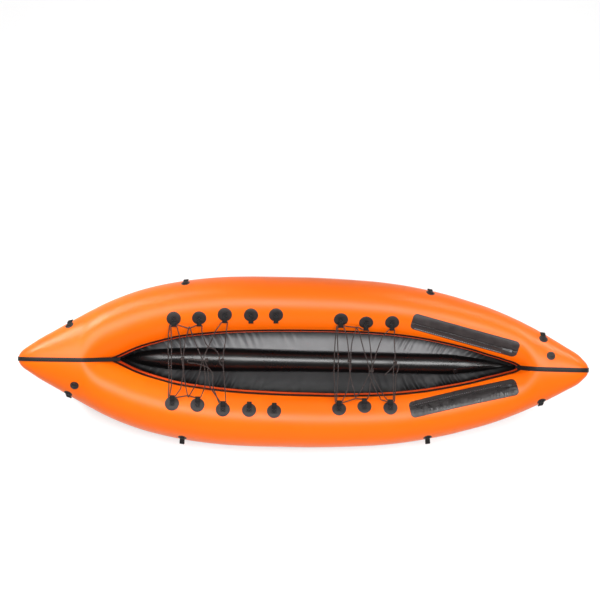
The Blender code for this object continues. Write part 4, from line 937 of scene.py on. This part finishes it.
def floor_fabric():
    """The outer floor under both tubes, with its edges turned up onto them."""
    start, end = (share * HALF_LENGTH for share in FLOOR_CLOTH_ENDS)
    x = np.linspace(start, end, FLOOR_CLOTH_COLUMNS)
    _, axis, tall, centre = (values[:, None] for values in hull_at(x))
    y = np.linspace(-1, 1, FLOOR_CLOTH_ROWS) * (axis + FLOOR_CLOTH_TURN_UP)
    bumps = soft_noise(x[:, None] * FLOOR_CLOTH_BUMPS, y * FLOOR_CLOTH_BUMPS, 3)
    middle = np.clip(1 - (np.abs(y) / np.maximum(axis, 1e-4)) ** 4, 0, 1)
    z = np.maximum(centre - tall - FLOOR_CLOTH_GAP + FLOOR_CLOTH_BULGE * (1 + bumps) * middle, 0.0)
    bm = bmesh.new()
    grid(bm, np.stack(np.broadcast_arrays(x[:, None], y, z), axis=-1), scale=(0.01, 0.01))
    material = fabric("black_floor_fabric")
    piece, area = cloth_piece("floor_fabric", bm, material, FLOOR_CLOTH_THICKNESS, 1)
    dress(piece, "hull", "floor_sheet")


# Tapes: the rim tape's steps and run beyond the cockpit, the seam tapes' steps, the places they are evened
# over, how far they stand off the tip, and the shares of the half length where they tuck under it
RIM_TAPE_STEPS, RIM_TAPE_RUN_OUT = 300, 0.004
SEAM_TAPE_STEPS, SEAM_TAPE_EVENED, SEAM_TAPE_OFF_TIP, SEAM_TAPE_LAST = 150, 7, 0.0007, 0.9990
SEAM_TAPE_TUCK = (0.998, 0.9947, 0.988, 0.980)


def tape_section(width):
    return rounded(width, TAPE_THICKNESS, TAPE_CORNER, 2)


def rim_tape():
    """The tape round the cockpit, on both tubes, running out under the seam tapes."""
    fore, aft = COCKPIT_ENDS
    x = np.linspace(fore - RIM_TAPE_RUN_OUT, aft + RIM_TAPE_RUN_OUT, RIM_TAPE_STEPS)
    section = tape_section(bpy.context.scene.packraft_sizes.rim_width)
    bm = bmesh.new()
    for side in (1, -1):
        path, ups = [], []
        for place in x:
            point, normal, _ = skin(float(place), RIM_ANGLE - TAPE_TURN)
            point = point + normal * RIM_TAPE_LIFT
            point.y = max(point.y, RIM_TAPE_KEEP_OFF)
            path.append(point)
            ups.append(normal)
        sweep(bm, mirrored(path, side), mirrored(ups, side), section)
    outward(bm)
    dress(new_piece("cockpit_rim", bm, fabric("black_tape")), "hull", "rim_tape")


def seam_height(x, half):
    """The height of the tubes' upper side within a half width of the middle line."""
    points = tube_points(x, np.radians(np.arange(0, 181, 1.5)))
    near = points[points[:, 1] <= half]
    return float(near[:, 2].max()) if len(near) else float(tube_points(x, RIM_ANGLE)[2])


def stretched(line):
    """The points of a line that a taut tape laid over it would touch."""
    kept = []
    for point in line:
        while len(kept) > 1:
            share = (kept[-1].x - kept[-2].x) / (point.x - kept[-2].x)
            if kept[-1].z > kept[-2].z + (point.z - kept[-2].z) * share:
                break
            kept.pop()
        kept.append(point)
    return kept


def seam_tape(name):
    """The tape over the crease, on over the tip and a little way below it."""
    end, start, width = SEAMS[name]
    tip = end * HALF_LENGTH
    x = np.linspace(start * tip, tip * SEAM_TAPE_LAST, SEAM_TAPE_STEPS)
    line = [Vector((place, 0, seam_height(place, width / 2) + SEAM_TAPE_LIFT)) for place in x]
    kept = stretched(line)
    heights = np.interp(np.abs(x), [abs(p.x) for p in kept], [p.z for p in kept])
    even = np.ones(SEAM_TAPE_EVENED) / SEAM_TAPE_EVENED
    crest = np.convolve(np.pad(heights, SEAM_TAPE_EVENED // 2, mode="edge"), even, mode="valid")
    path = [Vector((place, 0, height)) for place, height in zip(x, np.maximum(heights, crest))]
    nose = float(hull_at(tip * SEAM_TAPE_LAST)[3])
    path.append(Vector((end * (HALF_LENGTH + SEAM_TAPE_OFF_TIP), 0, nose)))
    for share in SEAM_TAPE_TUCK:
        _, _, tall, centre = (float(value) for value in hull_at(tip * share))
        path.append(Vector((tip * share, 0, centre - tall - SEAM_TAPE_LIFT)))
    bm = bmesh.new()
    ups = [Vector((0, 1, 0)).cross(along).normalized() * -end for along in headings(path)]
    sweep(bm, path, ups, tape_section(width))
    outward(bm)
    dress(new_piece(f"seam_{name}", bm, fabric("black_tape")), "hull", f"seam_tape_{name}")


# Patches and webbing

# Search for the skin: the way to both sides and the halvings. Then the corners round a disc
SKIN_SEARCH, SKIN_HALVINGS, DISC_CORNERS = 0.04, 26, 56


def on_skin(points, normal):
    """Moves points along the normal onto the port tube's skin."""
    low, high = np.full(len(points), -SKIN_SEARCH), np.full(len(points), SKIN_SEARCH)
    for _ in range(SKIN_HALVINGS):
        middle = (low + high) / 2
        place = points + normal * middle[:, None]
        wide, axis, tall, centre = hull_at(place[:, 0])
        inside = ((place[:, 1] - axis) / (wide - axis)) ** 2 + ((place[:, 2] - centre) / tall) ** 2 < 1
        low, high = np.where(inside, middle, low), np.where(inside, high, middle)
    return points + normal * high[:, None]


def round_patch(name, nodes, diameter, x, angle, side):
    """A welded disc that follows the tube, with a thin pressed edge and a faint inner ring."""
    centre, normal, around = skin(x, angle)
    along = normal.cross(around).normalized()
    turns = np.linspace(0, 2 * math.pi, DISC_CORNERS, endpoint=False)[:, None]
    ring = np.cos(turns) * np.array(along) + np.sin(turns) * np.array(around)
    out = np.array(normal)
    rings = []
    for share, height in DISC_PROFILE:
        flat = np.array(centre) + ring * (diameter / 2) * max(share, 1e-3)
        rings.append(mirrored(on_skin(flat, out) + out * height, side))
    bm = bmesh.new()
    closed_tube(bm, rings)
    outward(bm)
    dress(new_piece(name, bm, fabric("black_patch")), "hull", *nodes)


def loop_frame(x, angle, side, towards_crest, height):
    point, normal, around = skin(x, angle)
    place, along, out = mirrored((point + normal * height, around * towards_crest, normal), side)
    return frame_matrix(place, along, out)


def turned_up(p, q, lift):
    """A point of the tongue, in the loop's own frame, after the tongue is lifted about its root."""
    return (
        LOOP_BASE / 2 + p * math.cos(lift) - q * math.sin(lift),
        p * math.sin(lift) + q * math.cos(lift),
    )


# The folded strap: the tongue's root, where the upper layer leaves the eye and comes down, where it reaches
# the base, and the margins and height of its stitches
TONGUE_ROOT, UPPER_START, UPPER_DROP, UPPER_END = 0.002, 0.0105, 0.0085, 0.0035
STRAP_CORNER, STITCH_HEIGHT = 0.0007, 0.0003
STITCH_MARGINS = (0.0025, 0.005, 0.0025)


def loop_path(lift, eye_height):
    """The middle line of the folded strap: out along the base, round the eye and back on top."""
    half = WEBBING_THICKNESS / 2
    ring = eye_height / 2 + half
    centre_q = eye_height / 2 + WEBBING_THICKNESS
    tip = LOOP_TONGUE - eye_height / 2 - WEBBING_THICKNESS
    path = [(p, half) for p in np.linspace(-LOOP_BASE / 2, LOOP_BASE / 2 - 0.001, 9)]
    tongue = [(p, half) for p in np.linspace(TONGUE_ROOT, tip, 9)]
    tongue += arc((tip, centre_q), ring, -math.pi / 2, math.pi / 2, 12)[1:]
    tongue += [(p, centre_q + ring) for p in np.linspace(tip, UPPER_START, 6)[1:]]
    path += [turned_up(*point, lift) for point in tongue]
    base_top = 3 * half + 0.0001
    inner = turned_up(UPPER_DROP, centre_q + ring - 0.0002, lift)
    outer = (LOOP_BASE / 2 - UPPER_END, base_top)
    for t in np.linspace(0, 1, 9)[1:]:
        ease = t * t * (3 - 2 * t)
        path.append((inner[0] + (outer[0] - inner[0]) * t, inner[1] + (outer[1] - inner[1]) * ease))
    path += [(p, base_top) for p in np.linspace(outer[0], -LOOP_BASE / 2, 9)[1:]]
    return path


def webbing_loop(name, node, matrix, lift, eye_height=LOOP_EYE_HEIGHT):
    """A strap folded into a loop, and its row of stitches: lines, pitch, size and way up."""
    path = [matrix @ Vector((p, q, 0)) for p, q in loop_path(lift, eye_height)]
    across = (matrix.to_3x3() @ Vector((0, 0, 1))).normalized()
    bm = bmesh.new()
    sweep(bm, path, [across] * len(path), rounded(WEBBING_THICKNESS, WEBBING_WIDTH, STRAP_CORNER, 2))
    outward(bm)
    dress(new_piece(name, bm, fabric("black_webbing")), "hull", node)
    top = WEBBING_THICKNESS * 2 + STITCH_HEIGHT
    root, front, edge = STITCH_MARGINS
    low, high, half = -LOOP_BASE / 2 + root, LOOP_BASE / 2 - front, WEBBING_WIDTH / 2 - edge
    box = ((low, -half), (high, -half), (high, half), (low, half))
    corners = [matrix @ Vector((p, top, w)) for p, w in box]
    pairs = ((0, 1), (1, 2), (2, 3), (3, 0), (0, 2), (1, 3))
    lines = [[corners[i], corners[j]] for i, j in pairs]
    up = matrix.to_3x3() @ Vector((0, 1, 0))
    return lines, bpy.context.scene.packraft_sizes.stitch, STITCH_SIZE, up


# Valves

def chamber_valve(name):
    """The welded valve body with its moulded steps, and the ribbed screw cap."""
    side, share, degrees = VALVES[name]
    point, normal, _ = skin(share * HALF_LENGTH, math.radians(degrees))
    place, out = mirrored((point, normal), side)
    matrix = axis_matrix(place, out, Vector((1, 0, 0)))
    plastic = fabric("black_plastic")
    bm = bmesh.new()
    turned(bm, VALVE_BODY, matrix)
    outward(bm)
    dress(new_piece(f"valve_seat_{name}", bm, plastic), "hull", f"valve_body_{name}")
    base = matrix @ Matrix.Translation((0, 0, CAP_HEIGHT))
    grip = bmesh.new()
    rings = []
    for length, width, height in CAP_GRIP:
        ring = rounded(length, width, min(width / 2 - 1e-4, 0.0021), 4)
        rings.append([base @ Vector((a, b, height)) for a, b in ring])
    closed_tube(grip, rings)
    outward(grip)
    mesh = bpy.data.meshes.new("grip")
    grip.to_mesh(mesh)
    grip.free()
    bm = bmesh.new()
    turned(bm, VALVE_CAP, base, segments=60)
    outward(bm)
    bm.from_mesh(mesh)
    turns = np.linspace(0, 2 * math.pi, 73)
    ribs = [base @ Vector((CAP_RADIUS * math.cos(t), CAP_RADIUS * math.sin(t), 0.0020)) for t in turns]
    up = base.to_3x3() @ Vector((0, 0, 1))
    bm.from_mesh(row_mesh([ribs], RIB_PITCH, RIB_SIZE, up, plastic))
    dress(new_piece(f"screw_cap_{name}", bm, plastic), f"valve_cap_{name}", f"valve_cap_{name}")


# Zips

ZIP_FORE, ZIP_AFT = (
    Vector((length * HALF_LENGTH, beam * HALF_BEAM)) for length, beam in (ZIP_FORE_SHARES, ZIP_AFT_SHARES)
)
ZIP_ALONG = (ZIP_AFT - ZIP_FORE).normalized()
ZIP_RIDGE = ZIP_RIDGE_SHARE * ZIP_PATCH_WIDTH


def zip_skin(share, across):
    """Points on the port tube's top, by the share of the zip's length and the way towards the cockpit."""
    x = ZIP_FORE.x + (ZIP_AFT.x - ZIP_FORE.x) * share + ZIP_ALONG.y * across
    y = ZIP_FORE.y + (ZIP_AFT.y - ZIP_FORE.y) * share - ZIP_ALONG.x * across
    wide, axis, _, _ = hull_at(x)
    return tube_points(x, np.arccos(np.clip((y - axis) / (wide - axis), -1, 1)))


def rail_line(side):
    """The height of the zip's ridge by its share, as on the frame's own joint."""
    ends = [Vector(zip_skin(share, ZIP_RIDGE)) for share in (0, 1)]
    chord = Vector(((ends[1].xy - ends[0].xy).length, ends[1].z - ends[0].z))
    dip = ZIP_DIP_SHARE * chord.length
    radius = (chord.length**2 / 4 + dip**2) / (2 * dip)
    inward = Vector((-chord.y, chord.x)).normalized()
    centre = Vector((0, ends[0].z)) + chord / 2 + inward * (radius - dip)
    joint = next(j for j in frame["joints"] if j["name"] == f"zip_slider_{SIDES[side]}_run")
    centre.y = joint["pos_m"][2]

    def height(share):
        return centre.y - math.sqrt(radius**2 - (share * chord.x - centre.x) ** 2)

    return height


# The flaps' cloth: the pressed line's depth, way in and width, the rounding of the edge, how far the edge
# dips and the ridge stays under the rail, the shares of the zip where the ridge ends, the least height, the
# flat margin, and the crumples' width as a share of the zip
PRESSED_DEPTH, PRESSED_IN, PRESSED_WIDTH = 0.0005, 0.0065, 0.0010
EDGE_ROUNDING, EDGE_DIP, RIDGE_UNDER_RAIL, RIDGE_ENDS = 0.0012, 0.0003, 0.0004, (0.006, 0.994)
LEAST_HEIGHT, FLAT_MARGIN, CRUMPLE_WIDTH = 0.0005, 0.008, 0.034

# The starboard flap's cross creases: how far they keep from the ridge, their slant, and the place and width
# of the fold behind each hollow
CREASE_KEEP_OFF, CREASE_SLANT, HOLLOW_WIDTH, FOLD_BEHIND, FOLD_WIDTH = 0.010, 0.22, 0.0018, 0.0024, 0.0020


def bell(x, width):
    return np.exp(-((x / width) ** 2))


def flap_heights(share, across, rim, points, side, rail, creases):
    """How far the flap stands above the tube, across one of its rows."""
    pressed = PRESSED_DEPTH * bell(rim - PRESSED_IN, PRESSED_WIDTH)
    height = FLAP_HEIGHT * np.minimum(1.0, rim / EDGE_ROUNDING) ** 0.5 - pressed
    height[[0, -1]] = -EDGE_DIP
    crest = np.maximum(0.0, 1 - ((across - ZIP_RIDGE) / CREST_HALF) ** 6)
    if RIDGE_ENDS[0] < share < RIDGE_ENDS[1]:
        top = np.maximum(rail(share) - points[:, 2] - RIDGE_UNDER_RAIL, FLAP_HEIGHT)
        height = height * (1 - crest) + crest * top
    u = share * (ZIP_AFT - ZIP_FORE).length
    inner = np.clip(rim / FLAT_MARGIN - 1, 0, 1) * (1 - np.minimum(1.0, crest * 3))
    crease = soft_noise(u * 420 + across * 190, across * 300, 31 + side) * 0.55
    crease = crease + soft_noise(u * 130, across * 420, 17) * 0.35
    amount, middle, factor = CRUMPLES[side]
    end = bell(share - middle, CRUMPLE_WIDTH) * factor
    height += inner * crease * amount * (1.0 + end) * np.minimum(1.0, np.abs(across - ZIP_RIDGE) / 0.03 + 0.3)
    if side < 0:
        outer = np.clip((ZIP_RIDGE - CREASE_KEEP_OFF - across) / FLAT_MARGIN, 0, 1) * inner
        near = u - creases[:, None] - CREASE_SLANT * (across + 0.01)
        wave = bell(near - FOLD_BEHIND, FOLD_WIDTH) - bell(near, HOLLOW_WIDTH)
        height += outer * CREASE_DEPTH * wave.sum(axis=0)
    height[2:-2] = np.maximum(height[2:-2], np.minimum(LEAST_HEIGHT, rim[2:-2]))
    return height


def zip_patch(side):
    """The welded flap with its pressed edge, the raised ridge of the zip, and crumpled cloth beside it."""
    half = ZIP_PATCH_WIDTH / 2
    length = (ZIP_AFT - ZIP_FORE).length
    edges = (0.93, 0.985, 1.0, 1.0)
    columns = np.concatenate([-np.array(edges[::-1]), np.linspace(-0.88, 0.88, 53), edges])
    first = np.concatenate([[0.0], np.geomspace(0.0005, 0.03, 9)])
    shares = np.concatenate([first, np.linspace(0.035, 0.965, 330), 1 - first[::-1]])
    rail = rail_line(side)
    creases = np.cumsum(np.random.default_rng(4).uniform(0.007, 0.024, 34))
    rows = []
    for share in shares:
        inset = min(share, 1 - share) * length
        short = max(FLAP_CORNER - inset, 0.0)
        edge = half - (FLAP_CORNER - math.sqrt(FLAP_CORNER**2 - short**2))
        across = columns * edge
        points = zip_skin(share, across)
        rim = np.minimum(edge - np.abs(across), inset)
        points[:, 2] += flap_heights(share, across, rim, points, side, rail, creases)
        rows.append(mirrored(points, side))
    bm = bmesh.new()
    grid(bm, rows, scale=(0.0035, 0.0014))
    upward(bm)
    wall = bmesh.ops.extrude_edge_only(bm, edges=[edge for edge in bm.edges if edge.is_boundary])
    low = [item for item in wall["geom"] if isinstance(item, bmesh.types.BMVert)]
    bmesh.ops.translate(bm, vec=(0, 0, -FLAP_THICKNESS), verts=low)
    name = SIDES[side]
    # Each flap takes its own copy of the cloth, painted lighter on port and darker on starboard.
    piece = new_piece(f"zip_flap_{name}", bm, fabric(f"zip_cloth_{name}"), angle=60)
    dress(piece, "hull", f"cargo_zip_{name}")


def zip_teeth(side):
    """Two rows of meshed teeth on the ridge, and the light stitches along the flap's inner edge."""
    name = SIDES[side]
    inboard = Vector((ZIP_ALONG.y, -ZIP_ALONG.x))
    rail = rail_line(side)
    lines = []
    for offset, start in TOOTH_ROWS:
        line = []
        for share in np.linspace(start, 0.965, 60):
            place = ZIP_FORE.lerp(ZIP_AFT, share) + inboard * (ZIP_RIDGE + offset)
            line.append((place.x, place.y, rail(share) - TOOTH_DEPTH))
        lines.append(mirrored(line, side))
    pitch = bpy.context.scene.packraft_sizes.tooth
    rows = [(lines, pitch, TOOTH_SIZE, (0, 0, 1))]
    add_to(row_piece(f"zip_teeth_{name}", rows, fabric("zip_teeth")))
    inset, size = FLAP_STITCHES[side]
    line = zip_skin(np.linspace(0.05, 0.86, 90), ZIP_PATCH_WIDTH / 2 - inset)
    line = mirrored(line + np.array((0, 0, FLAP_STITCH_HEIGHT)), side)
    rows = [([line], FLAP_STITCH_PITCH, size, (0, 0, 1))]
    add_to(row_piece(f"zip_stitches_{name}", rows, fabric("grey_thread")))


# Lacing

def eye_pass(side, number, lane, way):
    """Where the cord enters and leaves a loop's eye."""
    share, degrees = LACING_SHARES[number - 1]
    matrix = loop_frame(share * HALF_LENGTH, math.radians(90 + degrees), side, 1, LACING_LOOP_LIFT)
    round_end = LOOP_EYE_HEIGHT / 2 + WEBBING_THICKNESS
    rest = LOOP_TONGUE - round_end + LOOP_EYE_HEIGHT / 2 - CORD_DIAMETER / 2 - 0.0006
    centre = matrix @ Vector((*turned_up(rest - lane * CORD_LANE, round_end, LOOP_LIFT), 0))
    across = (matrix.to_3x3() @ Vector((0, 0, 1))).normalized()
    if across.x * way < 0:
        across.negate()
    reach = WEBBING_WIDTH / 2 + 0.0025 + lane * CORD_LANE
    return [centre - across * reach, centre + across * reach]


def route_points(route):
    points = []
    for stop in route:
        if isinstance(stop[0], str):
            points += eye_pass(1 if stop[0] == "port" else -1, *stop[1:])
        else:
            points.append(Vector(stop) * 0.001)
    return points


def rounded_path(points, radius=0.0045, steps=5):
    """The route with each corner turned in a small curve."""
    path = [points[0]]
    for before, corner, after in zip(points, points[1:], points[2:]):
        back, ahead = before - corner, after - corner
        cut = min(radius, back.length * 0.45, ahead.length * 0.45)
        start, end = corner + back.normalized() * cut, corner + ahead.normalized() * cut
        for t in (i / (steps - 1) for i in range(steps)):
            path.append(start * (1 - t) ** 2 + corner * (2 * t * (1 - t)) + end * t**2)
    path.append(points[-1])
    return path


def cord_tube(bm, path, segments=10):
    """The cord along a path, with its frame carried along so that the braid doesn't twist."""
    up = Vector((0, 0, 1))
    rings, travelled = [], [0.0]
    for point, along in zip(path, headings(path)):
        side = along.cross(up)
        if side.length < 1e-4:
            side = along.cross(Vector((1, 0, 0)))
        side.normalize()
        up = side.cross(along).normalized()
        rings.append([point + side * x + up * y for x, y, _ in ring_points(CORD_DIAMETER / 2, 0, segments)])
    for before, point in zip(path, path[1:]):
        travelled.append(travelled[-1] + (point - before).length)
    closed_tube(bm, rings, along=travelled, scale=(1.0, 1 / segments))


def knot(bm, place, along):
    """A small wrapped knot of the same cord about the given line."""
    along = along.normalized()
    side = along.cross(Vector((0, 0, 1))).normalized()
    up = side.cross(along)
    path = []
    for t in (i / KNOT_STEPS for i in range(KNOT_STEPS + 1)):
        turn = 2 * math.pi * KNOT_TURNS * t
        swell = KNOT_RADIUS * (1 + KNOT_SWELL * math.sin(math.pi * t))
        wound = (side * math.cos(turn) + up * math.sin(turn)) * swell
        path.append(place + along * (t - 0.5) * KNOT_LENGTH + wound)
    cord_tube(bm, path, 8)


def lacing(name, route):
    """One cord on its route through the loops, and its knots."""
    path = rounded_path(route_points(route))
    cord, tied = bmesh.new(), bmesh.new()
    cord_tube(cord, path)
    for holder, place, along in KNOTS:
        if holder == name:
            knot(tied, Vector(place) * 0.001, Vector(along))
    pieces = []
    for kind, bm in (("lacing", cord), ("knots", tied)):
        bmesh.ops.recalc_face_normals(bm, faces=bm.faces)
        pieces.append(new_piece(f"{kind}_{name}", bm, cord_material()))
    piece, knots = pieces
    dress(piece, "hull", f"lacing_cord_{name}")
    add_to(knots)


def paint_node(name, material):
    """A new material for one of the frame's own nodes."""
    node = frame["nodes"][name]
    node.data.materials.clear()
    node.data.materials.append(material)


# Operators

class PACKRAFT_OT_tubes(bpy.types.Operator):
    """Make the two side tubes, the floor tube, the floor and the cockpit's side panels"""

    bl_idname = "packraft.tubes"
    bl_label = "Air chambers and floor"

    def execute(self, context):
        for side in SIDES:
            side_tube(side)
            liner(side)
        make_floor_tube()
        floor_fabric()
        return {"FINISHED"}


class PACKRAFT_OT_tapes(bpy.types.Operator):
    """Make the cockpit's rim tape and the seam tapes over both tips"""

    bl_idname = "packraft.tapes"
    bl_label = "Tapes"

    def execute(self, context):
        rim_tape()
        for name in SEAMS:
            seam_tape(name)
        return {"FINISHED"}


class PACKRAFT_OT_lacing_points(bpy.types.Operator):
    """Make the round lacing patches with their webbing loops and stitches"""

    bl_idname = "packraft.lacing_points"
    bl_label = "Lacing points"

    def execute(self, context):
        rows = []
        for side, hand in SIDES.items():
            for number, (share, degrees) in enumerate(LACING_SHARES, 1):
                place = f"{hand}_{number}"
                x, angle = share * HALF_LENGTH, math.radians(90 + degrees)
                round_patch(f"disc_{place}", [f"lacing_patch_{place}"], LACING_DISC, x, angle, side)
                matrix = loop_frame(x, angle, side, 1, LACING_LOOP_LIFT)
                rows.append(webbing_loop(f"loop_{place}", f"lacing_loop_{place}", matrix, LOOP_LIFT))
        add_to(row_piece("lacing_stitches", rows, fabric("thread")))
        return {"FINISHED"}


class PACKRAFT_OT_tie_downs(bpy.types.Operator):
    """Make the small tie-down patches with their loops on the tubes' outer sides"""

    bl_idname = "packraft.tie_downs"
    bl_label = "Tie-downs"

    def execute(self, context):
        rows = []
        for number, (side, hand) in enumerate(SIDES.items()):
            for name, share, degrees, lifts in TIE_SHARES:
                place = f"{hand}_{name}"
                x, angle = share * HALF_LENGTH, math.radians(degrees[number])
                round_patch(f"tie_disc_{place}", [], TIE_DISC, x, angle, side)
                matrix = loop_frame(x, angle, side, -1, TIE_LOOP_LIFT)
                lift = lifts[number]
                eye_height = LOOP_EYE_HEIGHT if lift > 0 else TIE_FLAT_HEIGHT
                names = (f"tie_loop_{place}", f"tie_down_{place}")
                rows.append(webbing_loop(*names, matrix, TIE_LIFT * lift, eye_height))
        add_to(row_piece("tie_stitches", rows, fabric("thread")))
        return {"FINISHED"}


class PACKRAFT_OT_valves(bpy.types.Operator):
    """Make the chamber valves with their screw caps, and finish the floor tube's valve"""

    bl_idname = "packraft.valves"
    bl_label = "Valves"

    def execute(self, context):
        for name in VALVES:
            chamber_valve(name)
        paint_node("floor_valve", fabric("black_plastic"))
        return {"FINISHED"}


class PACKRAFT_OT_zips(bpy.types.Operator):
    """Make the cargo zips' flaps and teeth, and finish their sliders and pulls"""

    bl_idname = "packraft.zips"
    bl_label = "Cargo zips"

    def execute(self, context):
        for side, hand in SIDES.items():
            zip_patch(side)
            zip_teeth(side)
            paint_node(f"zip_slider_{hand}", fabric("slider_metal"))
            paint_node(f"zip_pull_{hand}", fabric("black_plastic"))
        return {"FINISHED"}


class PACKRAFT_OT_cords(bpy.types.Operator):
    """Lace the two cords through the loops across the cockpit"""

    bl_idname = "packraft.cords"
    bl_label = "Lacing cords"

    def execute(self, context):
        lacing("fore", FORE_ROUTE)
        lacing("aft", AFT_ROUTE)
        return {"FINISHED"}


class PACKRAFT_OT_stage(bpy.types.Operator):
    """Set the camera over the deck, the soft lamps and the pale floor"""

    bl_idname = "packraft.stage"
    bl_label = "Stage"

    def execute(self, context):
        scene = context.scene
        scene.view_settings.view_transform = "Standard"
        camera = bpy.data.objects.new("camera", bpy.data.cameras.new("camera"))
        scene.collection.objects.link(camera)
        camera.location = CAMERA_PLACE
        camera.rotation_euler = (0, 0, CAMERA_TURN)
        camera.data.lens = FOCAL_PIXELS / PICTURE_PIXELS * SENSOR
        camera.data.sensor_width = SENSOR
        camera.data.clip_end = 60
        scene.camera = camera
        for name, place, target, size, power, shiny, spread in LAMPS:
            lamp = bpy.data.objects.new(name, bpy.data.lights.new(name, "AREA"))
            scene.collection.objects.link(lamp)
            lamp.data.shape = "RECTANGLE"
            lamp.data.size, lamp.data.size_y = size
            lamp.data.energy = power
            lamp.data.spread = math.radians(spread)
            lamp.visible_glossy = shiny
            lamp.location = place
            lamp.rotation_euler = (Vector(target) - Vector(place)).to_track_quat("-Z", "Y").to_euler()
        world = bpy.data.worlds.new("studio")
        world.use_nodes = True
        scene.world = world
        sky = {"Color": (1, 1, 1, 1), "Strength": WORLD_STRENGTH}
        feed(world.node_tree, world.node_tree.nodes["Background"], sky)
        bend = arc((GROUND_FLAT, GROUND_BEND), GROUND_BEND, -math.pi / 2, 0, 8)[1:]
        outline = [(0.001, 0.0), (GROUND_FLAT, 0.0), *bend, (GROUND_FLAT + GROUND_BEND, GROUND_HEIGHT)]
        bm = bmesh.new()
        turned(bm, outline, Matrix.Translation((0, 0, -GROUND_SINK)), segments=64)
        new_piece("ground", bm, self.ground_material())
        return {"FINISHED"}

    def ground_material(self):
        """Matt grey that takes shadows, with a glow towards white for the camera and in reflections."""
        material, tree, shader = new_material("ground")
        grey = (GROUND_GREY, GROUND_GREY, GROUND_GREY, 1)
        feed(tree, shader, {"Base Color": grey, "Roughness": 0.9, "Specular IOR Level": 0.1})
        place = {0: coordinates(tree, "Object")}
        away = add_node(tree, "ShaderNodeVectorMath", place, operation="LENGTH").outputs["Value"]
        strength = ranged(tree, away, *GLOW_LEVELS, *GLOW_REACH)
        glow = add_node(tree, "ShaderNodeEmission", {"Strength": strength}).outputs[0]
        lit = add_node(tree, "ShaderNodeAddShader", {0: shader.outputs[0], 1: glow}).outputs[0]
        rays = add_node(tree, "ShaderNodeLightPath", {}).outputs
        seen = math_node(tree, "MAXIMUM", rays["Is Glossy Ray"], rays["Is Transmission Ray"])
        seen = math_node(tree, "MAXIMUM", rays["Is Camera Ray"], seen)
        mix = add_node(tree, "ShaderNodeMixShader", {0: seen, 1: shader.outputs[0], 2: lit})
        feed(tree, tree.nodes["Material Output"], {"Surface": mix.outputs[0]})
        return material


STEPS = (
    PACKRAFT_OT_tubes,
    PACKRAFT_OT_tapes,
    PACKRAFT_OT_lacing_points,
    PACKRAFT_OT_tie_downs,
    PACKRAFT_OT_valves,
    PACKRAFT_OT_zips,
    PACKRAFT_OT_cords,
    PACKRAFT_OT_stage,
)


class PACKRAFT_PT_looks(bpy.types.Panel):
    """The boat's pieces and their settings, in the sidebar"""

    bl_idname = "PACKRAFT_PT_looks"
    bl_label = "Packraft"
    bl_space_type = "VIEW_3D"
    bl_region_type = "UI"
    bl_category = "Packraft"

    def draw(self, context):
        for step in STEPS:
            self.layout.operator(step.bl_idname)
        for group in (context.scene.packraft_sizes, context.scene.packraft_colours):
            for name in group.bl_rna.properties.keys():
                if name not in ("rna_type", "name"):
                    self.layout.prop(group, name)


CLASSES = (PackraftSizes, PackraftColours, *STEPS, PACKRAFT_PT_looks)


def register():
    for item in CLASSES:
        bpy.utils.register_class(item)
    bpy.types.Scene.packraft_sizes = PointerProperty(type=PackraftSizes)
    bpy.types.Scene.packraft_colours = PointerProperty(type=PackraftColours)


def unregister():
    del bpy.types.Scene.packraft_colours
    del bpy.types.Scene.packraft_sizes
    for item in reversed(CLASSES):
        bpy.utils.unregister_class(item)


def corners(bounds):
    return [[float(value) for value in corner] for corner in bounds]


def main():
    register()
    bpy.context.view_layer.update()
    for step in STEPS:
        group, name = step.bl_idname.split(".")
        getattr(getattr(bpy.ops, group), name)()


if __name__ == "__main__":
    main()
